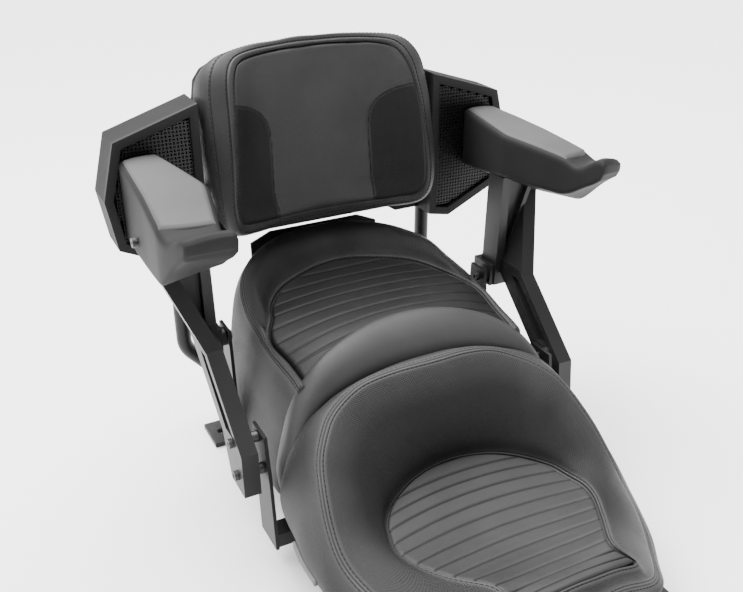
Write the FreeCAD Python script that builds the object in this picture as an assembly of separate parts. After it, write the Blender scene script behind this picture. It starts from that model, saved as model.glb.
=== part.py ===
import FreeCAD, Part

import math
import os

# Two-up touring seat on its own subframe.  +X is across the seat, +Y towards
# the backrest and +Z up.  The origin is the centre of the four bolt holes, in
# the plane under the feet.  Millimetres throughout.

V = FreeCAD.Vector

# ---- subframe tubes ------------------------------------------------------
TUBE_R = 14.0            # outer radius of rails and cross tubes
TUBE_WALL = 2.5
RAIL_X = 170.0           # rail centre line, each side
RAIL_LOW_Z = 22.0        # rail height under the rider
RAIL_HIGH_Z = 78.0       # rail height under the passenger
RAIL_FRONT_Y = -386.0
KICK_START_Y = -75.0
KICK_END_Y = 25.0
RAIL_BEND_R = 80.0
FRONT_CROSS_Y = -372.0
MID_CROSS_Y = -150.0
HOOP_Y = 378.0           # plane of the hoop that carries the backrest
HOOP_R = 12.5
HOOP_X = 232.0
HOOP_TOP_Z = 560.0
HOOP_SWELL_Z = 150.0     # where the hoop reaches its full width
HOOP_BEND_R = 45.0
CROSSBAR_Z = 430.0
CROSSBAR_R = 9.0
CLAMP_X = 90.0           # clamps that hold the backrest shell
CLAMP_HALF = 15.0
CLAMP_REACH = 22.0       # half length across the tube
CLAMP_LIP = 6.0          # how far a clamp passes the tube's centre
POD_CLAMP_LOW_Z = 390.0
POD_CLAMP_HIGH_Z = 510.0
SCREW_OFFSET = 17.5
SCREW_HEAD_R = 4.2
SCREW_HEAD = 4.0

# ---- mounting feet -------------------------------------------------------
FOOT_THICK = 8.0
FOOT_HOLE_X = 202.0
FOOT_HOLE_Y = 310.0
FOOT_HOLE_R = 6.5
FOOT_HALF_WIDTH = 32.0
FOOT_POST_R = 15.0

# ---- seat hinge and lock -------------------------------------------------
HINGE_Y = 296.0
HINGE_Z = 128.0
HINGE_PIN_R = 4.0
HINGE_PLAY = 0.06
KNUCKLE_R = 9.0
LEAF_THICK = 4.0
LEAF_HALF = 40.0
LEAF_FRONT = 34.0        # leaf edge in front of the hinge axis
LEAF_BACK = 22.0
KNUCKLE_X = (12, 34)     # the leaf's knuckle, each side
EAR_X = (34.4, 46)       # the bracket's ear outside it
KNUCKLE_WEB = 6.0
SADDLE_HALF = 16.0
SADDLE_RISE = 6.0
PIN_HALF = 50.0
PIN_HEAD = 4.0
PIN_HEAD_R = 6.5
LEAF_SCREW_X = 24.0
LEAF_SCREW_Y = (-26, 16)
LEAF_SCREW_R = 4.0
LEAF_SCREW_HEAD = 3.0
LOCK_Y = -330.0          # axis of the key barrel
LOCK_Z = 50.0
CRANK_R = 9.0
CRANK_PIN_R = 2.5
BARREL_R = 7.5
BARREL_PLAY = 0.05
TONGUE_HALF = 7.0
STRIKER_Y = FRONT_CROSS_Y
STRIKER_ROD_R = 3.0
STRIKER_HALF = 13.0
STRIKER_LOW_Z = 46.0
TONGUE_TIP_GAP = 3.5     # released tongue to striker rod
TONGUE_LOW = 1.5         # tongue's underside above the key's axis
TONGUE_THICK = 12.0
TONGUE_TAIL = 10.0
SLOT_PLAY = 0.6          # crank pin to the sides of its slot
SLOT_FLOOR = 1.5
SLOT_ROOF = 1.0
DISC_R = 13.0
DISC_X = (-14, -9)
DISC_PLAY = 0.6
CRANK_PIN_END_X = 6.0
CAP_R = 12.0
CAP_X = (-80, -72)
KEYWAY_DEPTH = 4.0
KEYWAY_HALF = 1.2
KEYWAY_REACH = 5.0
CASE_X = (-24, 14)
CASE_BACK = 26.0
CASE_LOW_Z = 36.0
CASE_RISE = 18.0
BASE_FRONT = 16.0
BASE_LAP = 4.0
CHANNEL_PLAY = 0.4
STRIKER_BEND_R = 5.0

# ---- seat ----------------------------------------------------------------
PAN_WALL = 4.0
PAN_INSET = 6.0          # pan edge inside the cover's lower edge
HUMP_HALF = 146.0        # raised box of the pan under the passenger
HUMP_FRONT_Y = 32.0
HUMP_BACK_Y = 286.0
HUMP_TOP_Z = 221.0
RIDER_BACK_Y = -24.0     # rear of the rider's cushion, front of the bolster
BOLSTER_BACK_Y = 40.0    # rear of the bolster, front of the passenger cushion
TAIL_Y = (337.0, 341.0)  # upstand of the pan behind the passenger's cushion
TAIL_OUTLINE = [(-112, 148), (112, 148), (115, 335), (80, 350), (-80, 350), (-115, 335)]
TAIL_FLANGE = (-88, 88, 322, 338, 148, 152)
BUMPER_R = 12.0
BUMPER_GAP = 0.4
BUMPERS = [(-250, RAIL_LOW_Z), (-120, RAIL_LOW_Z), (70, RAIL_HIGH_Z)]
TAG_OUTLINE = [(-176, 91), (-104, 97), (-104, 106), (-176, 100)]
TAG_X = (-237.5, -234)

# A station is: y, half width at the lower edge, its z, half width at the
# widest point, its z, half width at the upper seam, its z, half width of the
# sitting panel, its z, and z on the centre line.
RIDER = [
    (-397, 116, 98, 126, 112, 118, 130, 70, 156, 158),
    (-375, 138, 92, 152, 105, 146, 124, 92, 160, 168),
    (-340, 158, 82, 176, 96, 164, 124, 84, 168, 160),
    (-290, 178, 72, 202, 90, 188, 126, 116, 155, 143),
    (-230, 200, 68, 228, 92, 206, 138, 144, 145, 135),
    (-180, 210, 66, 236, 98, 211, 163, 141, 142, 138),
    (-140, 214, 66, 238, 105, 208, 194, 112, 145, 146),
    (-112, 214, 70, 236, 112, 200, 217, 62, 155, 155),
    (-85, 212, 76, 231, 116, 184, 242, 90, 222, 208),
    (-55, 210, 84, 226, 119, 174, 252, 100, 270, 274),
    (RIDER_BACK_Y, 208, 92, 222, 122, 170, 254, 100, 269, 281),
]
BOLSTER = [
    (RIDER_BACK_Y, 208, 92, 222, 122, 170, 254, 100, 269, 281),
    (5, 206, 100, 220, 128, 176, 269, 100, 302, 312),
    (BOLSTER_BACK_Y, 204, 108, 217, 126, 178, 281, 100, 307, 320),
]
PASSENGER = [
    (BOLSTER_BACK_Y, 204, 108, 217, 126, 178, 281, 100, 307, 320),
    (90, 202, 118, 215, 132, 184, 287, 150, 298, 312),
    (135, 200, 130, 211, 145, 185, 296, 155, 301, 309),
    (200, 195, 146, 206, 162, 181, 306, 160, 322, 311),
    (250, 184, 152, 196, 168, 170, 318, 132, 341, 318),
    (300, 150, 152, 160, 172, 134, 325, 66, 346, 351),
    (328, 95, 152, 104, 174, 92, 335, 48, 349, 352),
]

# ---- backrest ------------------------------------------------------------
BACK_PLANE_Y = 330.0     # where the cushion meets its shell
SHELL_BACK_Y = 362.0
MOULDING_WALL = 3.0
SHELL_DROP = 22.0        # how far the shell's crown stays below the cushion's
VALANCE_Y = (333.0, 358.0)   # dark panel that joins the pods under the cushion
VALANCE = [
    (-197, 347), (-152, 347), (-136, 357), (136, 357), (152, 347), (197, 347), (197, 397), (-197, 397),
]
# z, y on the centre line, half width and y of the front edge, half width and
# y of the side's widest point, half width at the back plane
BACKREST = [
    (398, 292, 116, 276, 140, 292, 144),
    (420, 289, 160, 248, 178, 264, 180),
    (450, 291, 168, 244, 185, 268, 186),
    (520, 296, 164, 254, 188, 285, 189),
    (586, 303, 159, 273, 187, 300, 188),
    (622, 309, 155, 289, 181, 314, 183),
    (641, 314, 145, 302, 168, 321, 171),
    (654, 320, 112, 313, 146, 324, 149),
    (662, 325, 78, 322, 116, 327, 119),
]

# ---- speaker pods --------------------------------------------------------
POD_OUTLINE = [(197, 346), (236, 338), (334, 385), (346, 463), (324, 548), (197, 589)]
POD_FRONT_Y = 300.0
POD_BACK_Y = 356.0
TRIM_DEPTH = 8.0
TRIM_WIDTH = 13.0
GRILLE_THICK = 2.4
SPEAKER_X = 270.0
SPEAKER_Z = 450.0
SPEAKER_R = 44.0
SPEAKER_RIM = 6.0
SPEAKER_DEPTH = 26.0
CONE_DEPTH = 20.0
CONE_END_R = 10.0
MAGNET_DEPTH = 23.0
RIM_THICK = 4.0

# ---- armrests ------------------------------------------------------------
ARM_OUTLINE = [(259, 291.5), (234, 143), (261, 19), (332, 56), (320, 291.5)]
ARM_TOP_REAR_Z = 523.0
ARM_TOP_FRONT_Z = 512.0
ARM_FRONT_Y = 19.0
ARM_REAR_Y = 291.5
ARM_UNDERSIDE = [(261, 28, 460), (234, 130, 460), (330, 270, 397)]
ARM_WALL = 3.0
PAD_INSET = 7.0
PAD_THICK = 8.0
PAD_FIT = 0.2
COVER_THICK = 3.0
LIP_OUTLINE = [(261, 32), (331, 72), (333, 40), (323, -23), (303, -38), (261, -53)]
LIP_PROFILE = [
    (72, 511), (34, 511), (14, 508), (-4, 514), (-24, 529), (-44, 533), (-54, 526),
    (-54, 506), (-42, 493), (-12, 483), (14, 466), (30, 459), (72, 462),
]

# ---- struts --------------------------------------------------------------
# z, x from, x to, y from, y to of each level of the casting
STRUT_LEG = [(138, 250, 274, -31, 20), (200, 249, 273, -25, 50), (309, 251, 275, 100, 176)]
STRUT_OUTER = [(300, 251, 275, 90, 172), (415, 297, 321, 161, 232), (452, 299, 322, 170, 238)]
STRUT_INNER = [(262, 240, 262, 148, 196), (310, 240, 256, 146, 186), (450, 243, 257, 146, 186)]
STRUT_WEB_Y = (160, 168)
STRUT_ARM_Z = (262, 298)
STRUT_ARM_Y = (150, 198)
POCKET_DEPTH = 7.0
BOSS_R = 14.0
BOSS_Y = 168.0
BOSS_Z = 276.0
BOSS_PROUD = 8.0         # how far the boss stands out from the arm
BOLT_R = 4.0
BOLT_HEAD_R = 7.0
BOLT_HEAD = 5.5
HOLE_PLAY = 0.3
HOLE_REACH = 60.0        # length of the cutter for a bolt's hole
ARM_BOLT_FROM_X = 290.0
ARM_BOLT_HEAD_X = 327.0
ARM_BOLT_LENGTH = 30.0
FOOT_BOLT_LENGTH = 46.0
BOSS_BOLT_LENGTH = 36.0
FRONT_PLATE_X = 233.0    # inner face of the plate that carries the strut foot
REAR_PLATE_X = 219.0     # inner face of the plate that carries the inner arm
PLATE_THICK = 5.0
# plate outlines in y and z, and the y and z range of the arm to the rail
FRONT_PLATE = [(-42, 40), (14, 40), (26, 190), (26, 216), (-18, 216), (-30, 150)]
FRONT_PLATE_ARM = (-38, -8, 40, 62)
REAR_PLATE = [(120, 66), (196, 66), (196, 160), (188, 292), (148, 292), (138, 160)]
REAR_PLATE_ARM = (130, 186, 68, 88)
STRUT_WEB = [(250, 290), (262, 290), (308, 420), (308, 448), (250, 448)]
STRUT_MID_X = 262.0      # middle of the leg's thickness
STRUT_RIB = [(250, 258, 296), (296, 304, 430)]   # x from, x to, z at each end
STRUT_RIB_Y = (150, 178)
STRUT_HALF = 12.0        # half thickness of the leg
STRUT_RECESS = [(2, 212), (34, 212), (118, 292), (100, 292)]
ARM_BOLT_Y = 205.0       # bolt through the armrest into the strut
ARM_BOLT_Z = 432.0
FOOT_BOLTS = [(-6, 160), (8, 204)]
SPACER_R = 8.0
SPACER_END_X = 252.0     # just inside the strut's foot, which trims it


def box(x0, x1, y0, y1, z0, z1):
    return Part.makeBox(x1 - x0, y1 - y0, z1 - z0, V(x0, y0, z0))


def cylinder(radius, start, end):
    axis = V(*end) - V(*start)
    return Part.makeCylinder(radius, axis.Length, V(*start), axis)


def polygon(points):
    return Part.makePolygon([V(*p) for p in points] + [V(*points[0])])


def prism_z(outline, z0, z1):
    face = Part.Face(polygon([(x, y, z0) for x, y in outline]))
    return face.extrude(V(0, 0, z1 - z0))


def prism_y(outline, y0, y1):
    face = Part.Face(polygon([(x, y0, z) for x, z in outline]))
    return face.extrude(V(0, y1 - y0, 0))


def prism_x(outline, x0, x1):
    face = Part.Face(polygon([(x0, y, z) for y, z in outline]))
    return face.extrude(V(x1 - x0, 0, 0))


def inset(outline, distance):
    """The outline moved inwards by a distance, in its own plane."""
    wire = polygon([(a, b, 0) for a, b in outline])
    moved = wire.makeOffset2D(-distance)
    return [(p.X, p.Y) for p in moved.OrderedVertexes]


def loft(sections):
    return Part.makeLoft([polygon(s) for s in sections], True, True)


def mirrored(shape):
    return shape.mirror(V(0, 0, 0), V(1, 0, 0))


def both_sides(shape):
    return {"right": shape, "left": mirrored(shape)}


def fuse(first, *others):
    return first.fuse(list(others)).removeSplitter()


def group(shapes):
    return Part.makeCompound(shapes)


def bent_wire(points, radius):
    """Straight runs joined by tangent arcs of one radius."""
    points = [V(*p) for p in points]
    edges = []
    start = points[0]
    for before, corner, after in zip(points, points[1:], points[2:]):
        towards = (before - corner).normalize()
        away = (after - corner).normalize()
        half = towards.getAngle(away) / 2
        reach = radius / math.tan(half)
        middle = (towards + away).normalize()
        centre = corner + middle * (radius / math.sin(half))
        first = corner + towards * reach
        last = corner + away * reach
        edges.append(Part.LineSegment(start, first).toShape())
        edges.append(Part.Arc(first, centre - middle * radius, last).toShape())
        start = last
    edges.append(Part.LineSegment(start, points[-1]).toShape())
    return Part.Wire(edges)


def bar(points, bend, radius):
    path = bent_wire(points, bend)
    direction = V(*points[1]) - V(*points[0])
    ring = Part.Wire(Part.makeCircle(radius, V(*points[0]), direction))
    return path.makePipeShell([ring], True, False)


def tube(points, bend, radius):
    return bar(points, bend, radius).cut(bar(points, bend, radius - TUBE_WALL))


def bolt(head_at, towards, length):
    """A flanged bolt whose head sits outside the point head_at."""
    axis = V(*towards).normalize()
    at = V(*head_at)
    shank = Part.makeCylinder(BOLT_R, length, at, axis)
    head = Part.makeCylinder(BOLT_HEAD_R, BOLT_HEAD, at, axis * -1)
    socket_depth = BOLT_HEAD * 0.6
    socket = Part.makeCylinder(BOLT_R * 0.75, socket_depth, at - axis * BOLT_HEAD, axis)
    return fuse(shank, head).cut(socket)


def clearance_hole(at, towards, length):
    axis = V(*towards).normalize()
    return Part.makeCylinder(BOLT_R + HOLE_PLAY, length, V(*at), axis)


# ---- subframe ------------------------------------------------------------
RAIL_PATH = [
    (RAIL_X, RAIL_FRONT_Y, RAIL_LOW_Z),
    (RAIL_X, KICK_START_Y, RAIL_LOW_Z),
    (RAIL_X, KICK_END_Y, RAIL_HIGH_Z),
    (RAIL_X, HOOP_Y, RAIL_HIGH_Z),
]
HOOP_PATH = [
    (-RAIL_X, HOOP_Y, RAIL_HIGH_Z),
    (-HOOP_X, HOOP_Y, HOOP_SWELL_Z),
    (-HOOP_X, HOOP_Y, HOOP_TOP_Z),
    (HOOP_X, HOOP_Y, HOOP_TOP_Z),
    (HOOP_X, HOOP_Y, HOOP_SWELL_Z),
    (RAIL_X, HOOP_Y, RAIL_HIGH_Z),
]


def make_subframe():
    rail_solid = bar(RAIL_PATH, RAIL_BEND_R, TUBE_R)
    rails_solid = group([rail_solid, mirrored(rail_solid)])
    hoop_solid = bar(HOOP_PATH, HOOP_BEND_R, HOOP_R)
    rail = tube(RAIL_PATH, RAIL_BEND_R, TUBE_R).cut(hoop_solid)
    nodes = {f"rail_{side}": shape for side, shape in both_sides(rail).items()}
    nodes["backrest_hoop"] = tube(HOOP_PATH, HOOP_BEND_R, HOOP_R)
    crossbar = cylinder(CROSSBAR_R, (-HOOP_X, HOOP_Y, CROSSBAR_Z), (HOOP_X, HOOP_Y, CROSSBAR_Z))
    nodes["hoop_crossbar"] = crossbar.cut(hoop_solid)
    crosses = {
        "cross_tube_front": (FRONT_CROSS_Y, RAIL_LOW_Z),
        "cross_tube_mid": (MID_CROSS_Y, RAIL_LOW_Z),
        "cross_tube_rear": (HINGE_Y, RAIL_HIGH_Z),
    }
    for name, (y, z) in crosses.items():
        solid = cylinder(TUBE_R, (-RAIL_X, y, z), (RAIL_X, y, z))
        hollow = cylinder(TUBE_R - TUBE_WALL, (-RAIL_X, y, z), (RAIL_X, y, z))
        nodes[name] = solid.cut(hollow).cut(rails_solid)
    rear_cross = cylinder(TUBE_R, (-RAIL_X, HINGE_Y, RAIL_HIGH_Z), (RAIL_X, HINGE_Y, RAIL_HIGH_Z))
    for end, sign, rail_z in (("front", -1, RAIL_LOW_Z), ("rear", 1, RAIL_HIGH_Z)):
        y = sign * FOOT_HOLE_Y
        plate = box(
            RAIL_X - FOOT_POST_R, FOOT_HOLE_X + 20, y - FOOT_HALF_WIDTH, y + FOOT_HALF_WIDTH,
            0, FOOT_THICK,
        )
        post = cylinder(FOOT_POST_R, (RAIL_X, y, 0), (RAIL_X, y, rail_z))
        hole = cylinder(FOOT_HOLE_R, (FOOT_HOLE_X, y, -1), (FOOT_HOLE_X, y, FOOT_THICK + 1))
        foot = fuse(plate, post).cut(hole).cut(rail_solid).cut(rear_cross)
        for side, shape in both_sides(biggest(foot)).items():
            nodes[f"mount_foot_{end}_{side}"] = shape
    nodes.update(make_strut_brackets(rails_solid))
    return nodes


def biggest(shape):
    """Drops the loose upper half of a post that a tube passes through."""
    return max(shape.Solids, key=lambda solid: solid.Volume)


def make_strut_brackets(rails_solid):
    """Plates that stand beside the seat and carry each strut's foot and arm."""
    x = FRONT_PLATE_X
    front_plate = prism_x(FRONT_PLATE, x, x + PLATE_THICK)
    front_arm = box(RAIL_X, x + 1, *FRONT_PLATE_ARM)
    front = fuse(front_plate, front_arm)
    for y, z in FOOT_BOLTS:
        front = front.cut(clearance_hole((x - 1, y, z), (1, 0, 0), PLATE_THICK + 2))
    x = REAR_PLATE_X
    rear_plate = prism_x(REAR_PLATE, x, x + PLATE_THICK)
    rear_arm = box(RAIL_X, x + 1, *REAR_PLATE_ARM)
    rear = fuse(rear_plate, rear_arm)
    rear = rear.cut(clearance_hole((x - 1, BOSS_Y, BOSS_Z), (1, 0, 0), PLATE_THICK + 2))
    nodes = {}
    for name, shape in (("strut_bracket", front), ("arm_bracket", rear)):
        for side, half in both_sides(shape).items():
            nodes[f"{name}_{side}"] = biggest(half.cut(rails_solid))
    return nodes


# ---- struts --------------------------------------------------------------
def levels(table):
    """A loft through level rectangles: z, x from, x to, y from, y to."""
    rings = []
    for z, x0, x1, y0, y1 in table:
        rings.append([(x0, y0, z), (x1, y0, z), (x1, y1, z), (x0, y1, z)])
    return loft(rings)


def make_strut():
    """One cast strut: a leg that leans back, then a fork under the armrest."""
    leg = levels(STRUT_LEG)
    outer = levels(STRUT_OUTER)
    inner = levels(STRUT_INNER)
    web = prism_y(STRUT_WEB, *STRUT_WEB_Y)
    boss_from = REAR_PLATE_X + PLATE_THICK
    arm = box(boss_from + BOSS_PROUD, STRUT_MID_X, *STRUT_ARM_Y, *STRUT_ARM_Z)
    boss = cylinder(BOSS_R, (boss_from, BOSS_Y, BOSS_Z), (STRUT_MID_X, BOSS_Y, BOSS_Z))
    rib = levels([(z, x0, x1, *STRUT_RIB_Y) for x0, x1, z in STRUT_RIB])
    strut = fuse(leg, outer, inner, web, arm, boss, rib)
    # long recess in the inner face of the leg, and one in its outer face
    for direction in (-1, 1):
        x_out = STRUT_MID_X + direction * 2 * STRUT_HALF
        x_in = STRUT_MID_X + direction * (STRUT_HALF - POCKET_DEPTH)
        strut = strut.cut(prism_x(STRUT_RECESS, min(x_in, x_out), max(x_in, x_out)))
    for y, z in FOOT_BOLTS:
        strut = strut.cut(clearance_hole((FRONT_PLATE_X, y, z), (1, 0, 0), HOLE_REACH))
    strut = strut.cut(clearance_hole((boss_from - 1, BOSS_Y, BOSS_Z), (1, 0, 0), HOLE_REACH))
    strut = strut.cut(clearance_hole((ARM_BOLT_FROM_X, ARM_BOLT_Y, ARM_BOLT_Z), (1, 0, 0), HOLE_REACH))
    return biggest(strut.removeSplitter())


def make_strut_fixings(strut):
    spacers = []
    bolts = []
    for y, z in FOOT_BOLTS:
        start = (FRONT_PLATE_X + PLATE_THICK, y, z)
        spacer = cylinder(SPACER_R, start, (SPACER_END_X, y, z)).cut(strut)
        hole = clearance_hole((FRONT_PLATE_X, y, z), (1, 0, 0), HOLE_REACH)
        spacers.append(biggest(spacer.cut(hole)))
        head_at = (STRUT_MID_X + STRUT_HALF, y, z)
        bolts.append(bolt(head_at, (-1, 0, 0), FOOT_BOLT_LENGTH))
    bolts.append(bolt((REAR_PLATE_X, BOSS_Y, BOSS_Z), (1, 0, 0), BOSS_BOLT_LENGTH))
    bolts.append(bolt((ARM_BOLT_HEAD_X, ARM_BOLT_Y, ARM_BOLT_Z), (-1, 0, 0), ARM_BOLT_LENGTH))
    return {
        "strut_spacers": group(spacers + [mirrored(s) for s in spacers]),
        "strut_bolts": group(bolts + [mirrored(b) for b in bolts]),
    }


# ---- armrests ------------------------------------------------------------
def plane_block(points, depth):
    """A thick block under the plane through three points."""
    a, b, c = [V(*p) for p in points]
    normal = (b - a).cross(c - a).normalize()
    if normal.z < 0:
        normal = normal * -1
    centre = (a + b + c) * (1 / 3)
    placement = FreeCAD.Placement(centre, FreeCAD.Rotation(V(0, 0, 1), normal))
    size = 400
    block = Part.makeBox(size, size, depth, V(-size / 2, -size / 2, -depth))
    block.Placement = placement
    return block


def top_surface_block(drop):
    """Everything below the armrest's gently falling top."""
    rise = (ARM_TOP_REAR_Z - ARM_TOP_FRONT_Z) / (ARM_REAR_Y - ARM_FRONT_Y)
    y0 = ARM_FRONT_Y - 80
    y1 = ARM_REAR_Y + 20
    z0 = ARM_TOP_FRONT_Z - drop + (y0 - ARM_FRONT_Y) * rise
    z1 = ARM_TOP_FRONT_Z - drop + (y1 - ARM_FRONT_Y) * rise
    return prism_x([(y0, 300), (y1, 300), (y1, z1), (y0, z0)], 200, 380)


def raised(points, height):
    return [(x, y, z + height) for x, y, z in points]


def make_armrest(strut):
    body = prism_z(ARM_OUTLINE, 370, 560).common(top_surface_block(0))
    under = plane_block(ARM_UNDERSIDE, 200)
    body = body.cut(under)
    inner = inset(ARM_OUTLINE, ARM_WALL)
    hollow = prism_z(inner, 360, 560).common(top_surface_block(PAD_THICK + ARM_WALL))
    shell = body.cut(hollow)
    lip = prism_x(LIP_PROFILE, 240, 345).common(prism_z(LIP_OUTLINE, 440, 550))
    shell = fuse(shell, lip)
    pad_outline = inset(ARM_OUTLINE, PAD_INSET)
    pad_zone = prism_z(inset(ARM_OUTLINE, PAD_INSET - PAD_FIT), 490, 560)
    shell = shell.cut(pad_zone.cut(top_surface_block(PAD_THICK)))
    pad = prism_z(pad_outline, 490, 560).common(top_surface_block(0)).cut(top_surface_block(PAD_THICK))
    cover = prism_z(inset(ARM_OUTLINE, ARM_WALL + PAD_FIT), 370, 520)
    cover = cover.cut(under).common(plane_block(raised(ARM_UNDERSIDE, COVER_THICK), 60))
    cover = biggest(cover.cut(lip).cut(strut))
    shell = shell.cut(strut)
    shell = shell.cut(clearance_hole((ARM_BOLT_FROM_X, ARM_BOLT_Y, ARM_BOLT_Z), (1, 0, 0), HOLE_REACH))
    return {"armrest_shell": biggest(shell), "armrest_pad": pad, "armrest_cover": cover}


# ---- backrest and pods ---------------------------------------------------
def symmetric(half):
    """A closed ring of points from its right half, which starts on x = 0."""
    left = [(-x, y, z) for x, y, z in reversed(half) if x > 0]
    return half + left


def make_backrest():
    sections = []
    for z, y_mid, x_edge, y_edge, x_side, y_side, x_back in BACKREST:
        half = [
            (0, y_mid, z), (x_edge * 0.5, y_mid - (y_mid - y_edge) * 0.2, z), (x_edge, y_edge, z),
            (x_side, y_side, z), (x_back, BACK_PLANE_Y, z),
        ]
        sections.append(symmetric(half))
    low_z, high_z = BACKREST[0][0], BACKREST[-1][0]
    right = []
    for row in BACKREST:
        share = (row[0] - low_z) / (high_z - low_z)
        right.append((row[6] - 1, row[0] - SHELL_DROP * share ** 2))
    outline = right + [(-x, z) for x, z in reversed(right)]
    shell = prism_y(outline, BACK_PLANE_Y, SHELL_BACK_Y)
    hollow = prism_y(inset(outline, MOULDING_WALL), BACK_PLANE_Y, SHELL_BACK_Y - MOULDING_WALL)
    clamps = []
    bolts = []
    hoop = bar(HOOP_PATH, HOOP_BEND_R, HOOP_R)
    crossbar = cylinder(CROSSBAR_R, (-HOOP_X, HOOP_Y, CROSSBAR_Z), (HOOP_X, HOOP_Y, CROSSBAR_Z))
    for x, z, half_x, half_z, front in (
        (CLAMP_X, HOOP_TOP_Z, CLAMP_HALF, CLAMP_REACH, SHELL_BACK_Y),
        (CLAMP_X, CROSSBAR_Z, CLAMP_HALF, CLAMP_REACH, SHELL_BACK_Y),
        (HOOP_X, POD_CLAMP_LOW_Z, CLAMP_REACH, CLAMP_HALF, POD_BACK_Y),
        (HOOP_X, POD_CLAMP_HIGH_Z, CLAMP_REACH, CLAMP_HALF, POD_BACK_Y),
    ):
        back = HOOP_Y + CLAMP_LIP
        block = box(x - half_x, x + half_x, front, back, z - half_z, z + half_z)
        block = block.cut(hoop).cut(crossbar)
        clamps.append(biggest(block))
        across = (0, SCREW_OFFSET) if x < HOOP_X else (SCREW_OFFSET, 0)
        for sign in (-1, 1):
            head = (x + sign * across[0], back, z + sign * across[1])
            bolts.append(Part.makeCylinder(SCREW_HEAD_R, SCREW_HEAD, V(*head), V(0, 1, 0)))
    return {
        "backrest_cushion": loft(sections),
        "backrest_shell": shell.cut(hollow),
        "lower_valance": prism_y(VALANCE, *VALANCE_Y),
        "hoop_clamps": group(clamps + [mirrored(c) for c in clamps]),
        "clamp_screws": group(bolts + [mirrored(b) for b in bolts]),
    }


def make_pod():
    body = prism_y(POD_OUTLINE, POD_FRONT_Y, POD_BACK_Y)
    hollow = prism_y(inset(POD_OUTLINE, MOULDING_WALL), POD_FRONT_Y, POD_BACK_Y - MOULDING_WALL)
    ring = prism_y(POD_OUTLINE, POD_FRONT_Y - TRIM_DEPTH, POD_FRONT_Y)
    window = inset(POD_OUTLINE, TRIM_WIDTH)
    trim = ring.cut(prism_y(window, POD_FRONT_Y - TRIM_DEPTH, POD_FRONT_Y))
    grille = prism_y(window, POD_FRONT_Y - GRILLE_THICK, POD_FRONT_Y)
    axis = V(0, 1, 0)
    front = V(SPEAKER_X, POD_FRONT_Y, SPEAKER_Z)
    basket_at = front + axis * RIM_THICK
    magnet_at = basket_at + axis * SPEAKER_DEPTH
    basket = Part.makeCone(SPEAKER_R, SPEAKER_R * 0.5, SPEAKER_DEPTH, basket_at, axis)
    rim = Part.makeCylinder(SPEAKER_R + SPEAKER_RIM, RIM_THICK, front, axis)
    magnet = Part.makeCylinder(SPEAKER_R * 0.6, MAGNET_DEPTH, magnet_at, axis)
    cone = Part.makeCone(SPEAKER_R - RIM_THICK, CONE_END_R, CONE_DEPTH, front, axis)
    return {
        "pod_housing": body.cut(hollow),
        "pod_trim": trim,
        "pod_grille": grille,
        "speaker": fuse(basket, rim, magnet).cut(cone),
    }


# ---- seat ----------------------------------------------------------------
def cushion(stations):
    sections = []
    for y, w0, z0, w1, z1, w2, z2, w3, z3, z4 in stations:
        top_half = [(0, y, z4), (w3, y, z3), (w2, y, z2), (w1, y, z1), (w0, y, z0)]
        sections.append(symmetric(top_half))
    return loft(sections)


def lower_edge():
    """y, half width and z of the cover's lower edge, front to back."""
    return [row[:3] for row in RIDER + BOLSTER[1:] + PASSENGER[1:]]


def pan_z(y):
    """Height of the pan's underside at a given y."""
    rows = lower_edge()
    for (y0, _, z0), (y1, _, z1) in zip(rows, rows[1:]):
        if y0 <= y <= y1:
            return z0 + (z1 - z0) * (y - y0) / (y1 - y0) - PAN_WALL
    raise ValueError("outside the pan")


def make_seat():
    plates = []
    for y, half, z in lower_edge():
        w = half - PAN_INSET
        plates.append([(-w, y, z - PAN_WALL), (w, y, z - PAN_WALL), (w, y, z), (-w, y, z)])
    hump = box(-HUMP_HALF, HUMP_HALF, HUMP_FRONT_Y, HUMP_BACK_Y, 60, HUMP_TOP_Z)
    below = loft([[(x, y, z - 120) for x, y, z in p[:2]] + p[1::-1] for p in plates])
    hump = hump.cut(below)
    cavity = box(
        -HUMP_HALF + PAN_WALL, HUMP_HALF - PAN_WALL, HUMP_FRONT_Y + PAN_WALL,
        HUMP_BACK_Y - PAN_WALL, 50, HUMP_TOP_Z - PAN_WALL,
    )
    tail = prism_y(TAIL_OUTLINE, *TAIL_Y)
    pan = fuse(loft(plates), hump, tail, box(*TAIL_FLANGE)).cut(cavity)
    nodes = {
        "seat_pan": pan,
        "rider_cushion": cushion(RIDER),
        "centre_bolster": cushion(BOLSTER).cut(hump),
        "passenger_cushion": cushion(PASSENGER).cut(hump),
    }
    bumpers = []
    for y, rail_z in BUMPERS:
        foot = cylinder(BUMPER_R, (RAIL_X, y, rail_z), (RAIL_X, y, pan_z(y) + PAN_WALL / 2))
        keep_off = cylinder(TUBE_R + BUMPER_GAP, (RAIL_X, y - 30, rail_z), (RAIL_X, y + 30, rail_z))
        bumpers.append(biggest(foot.cut(keep_off).cut(pan)))
    nodes["pan_bumpers"] = group(bumpers + [mirrored(b) for b in bumpers])
    tag = prism_x(TAG_OUTLINE, *TAG_X)
    nodes["skirt_tag"] = tag.cut(nodes["rider_cushion"])
    return nodes


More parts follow.
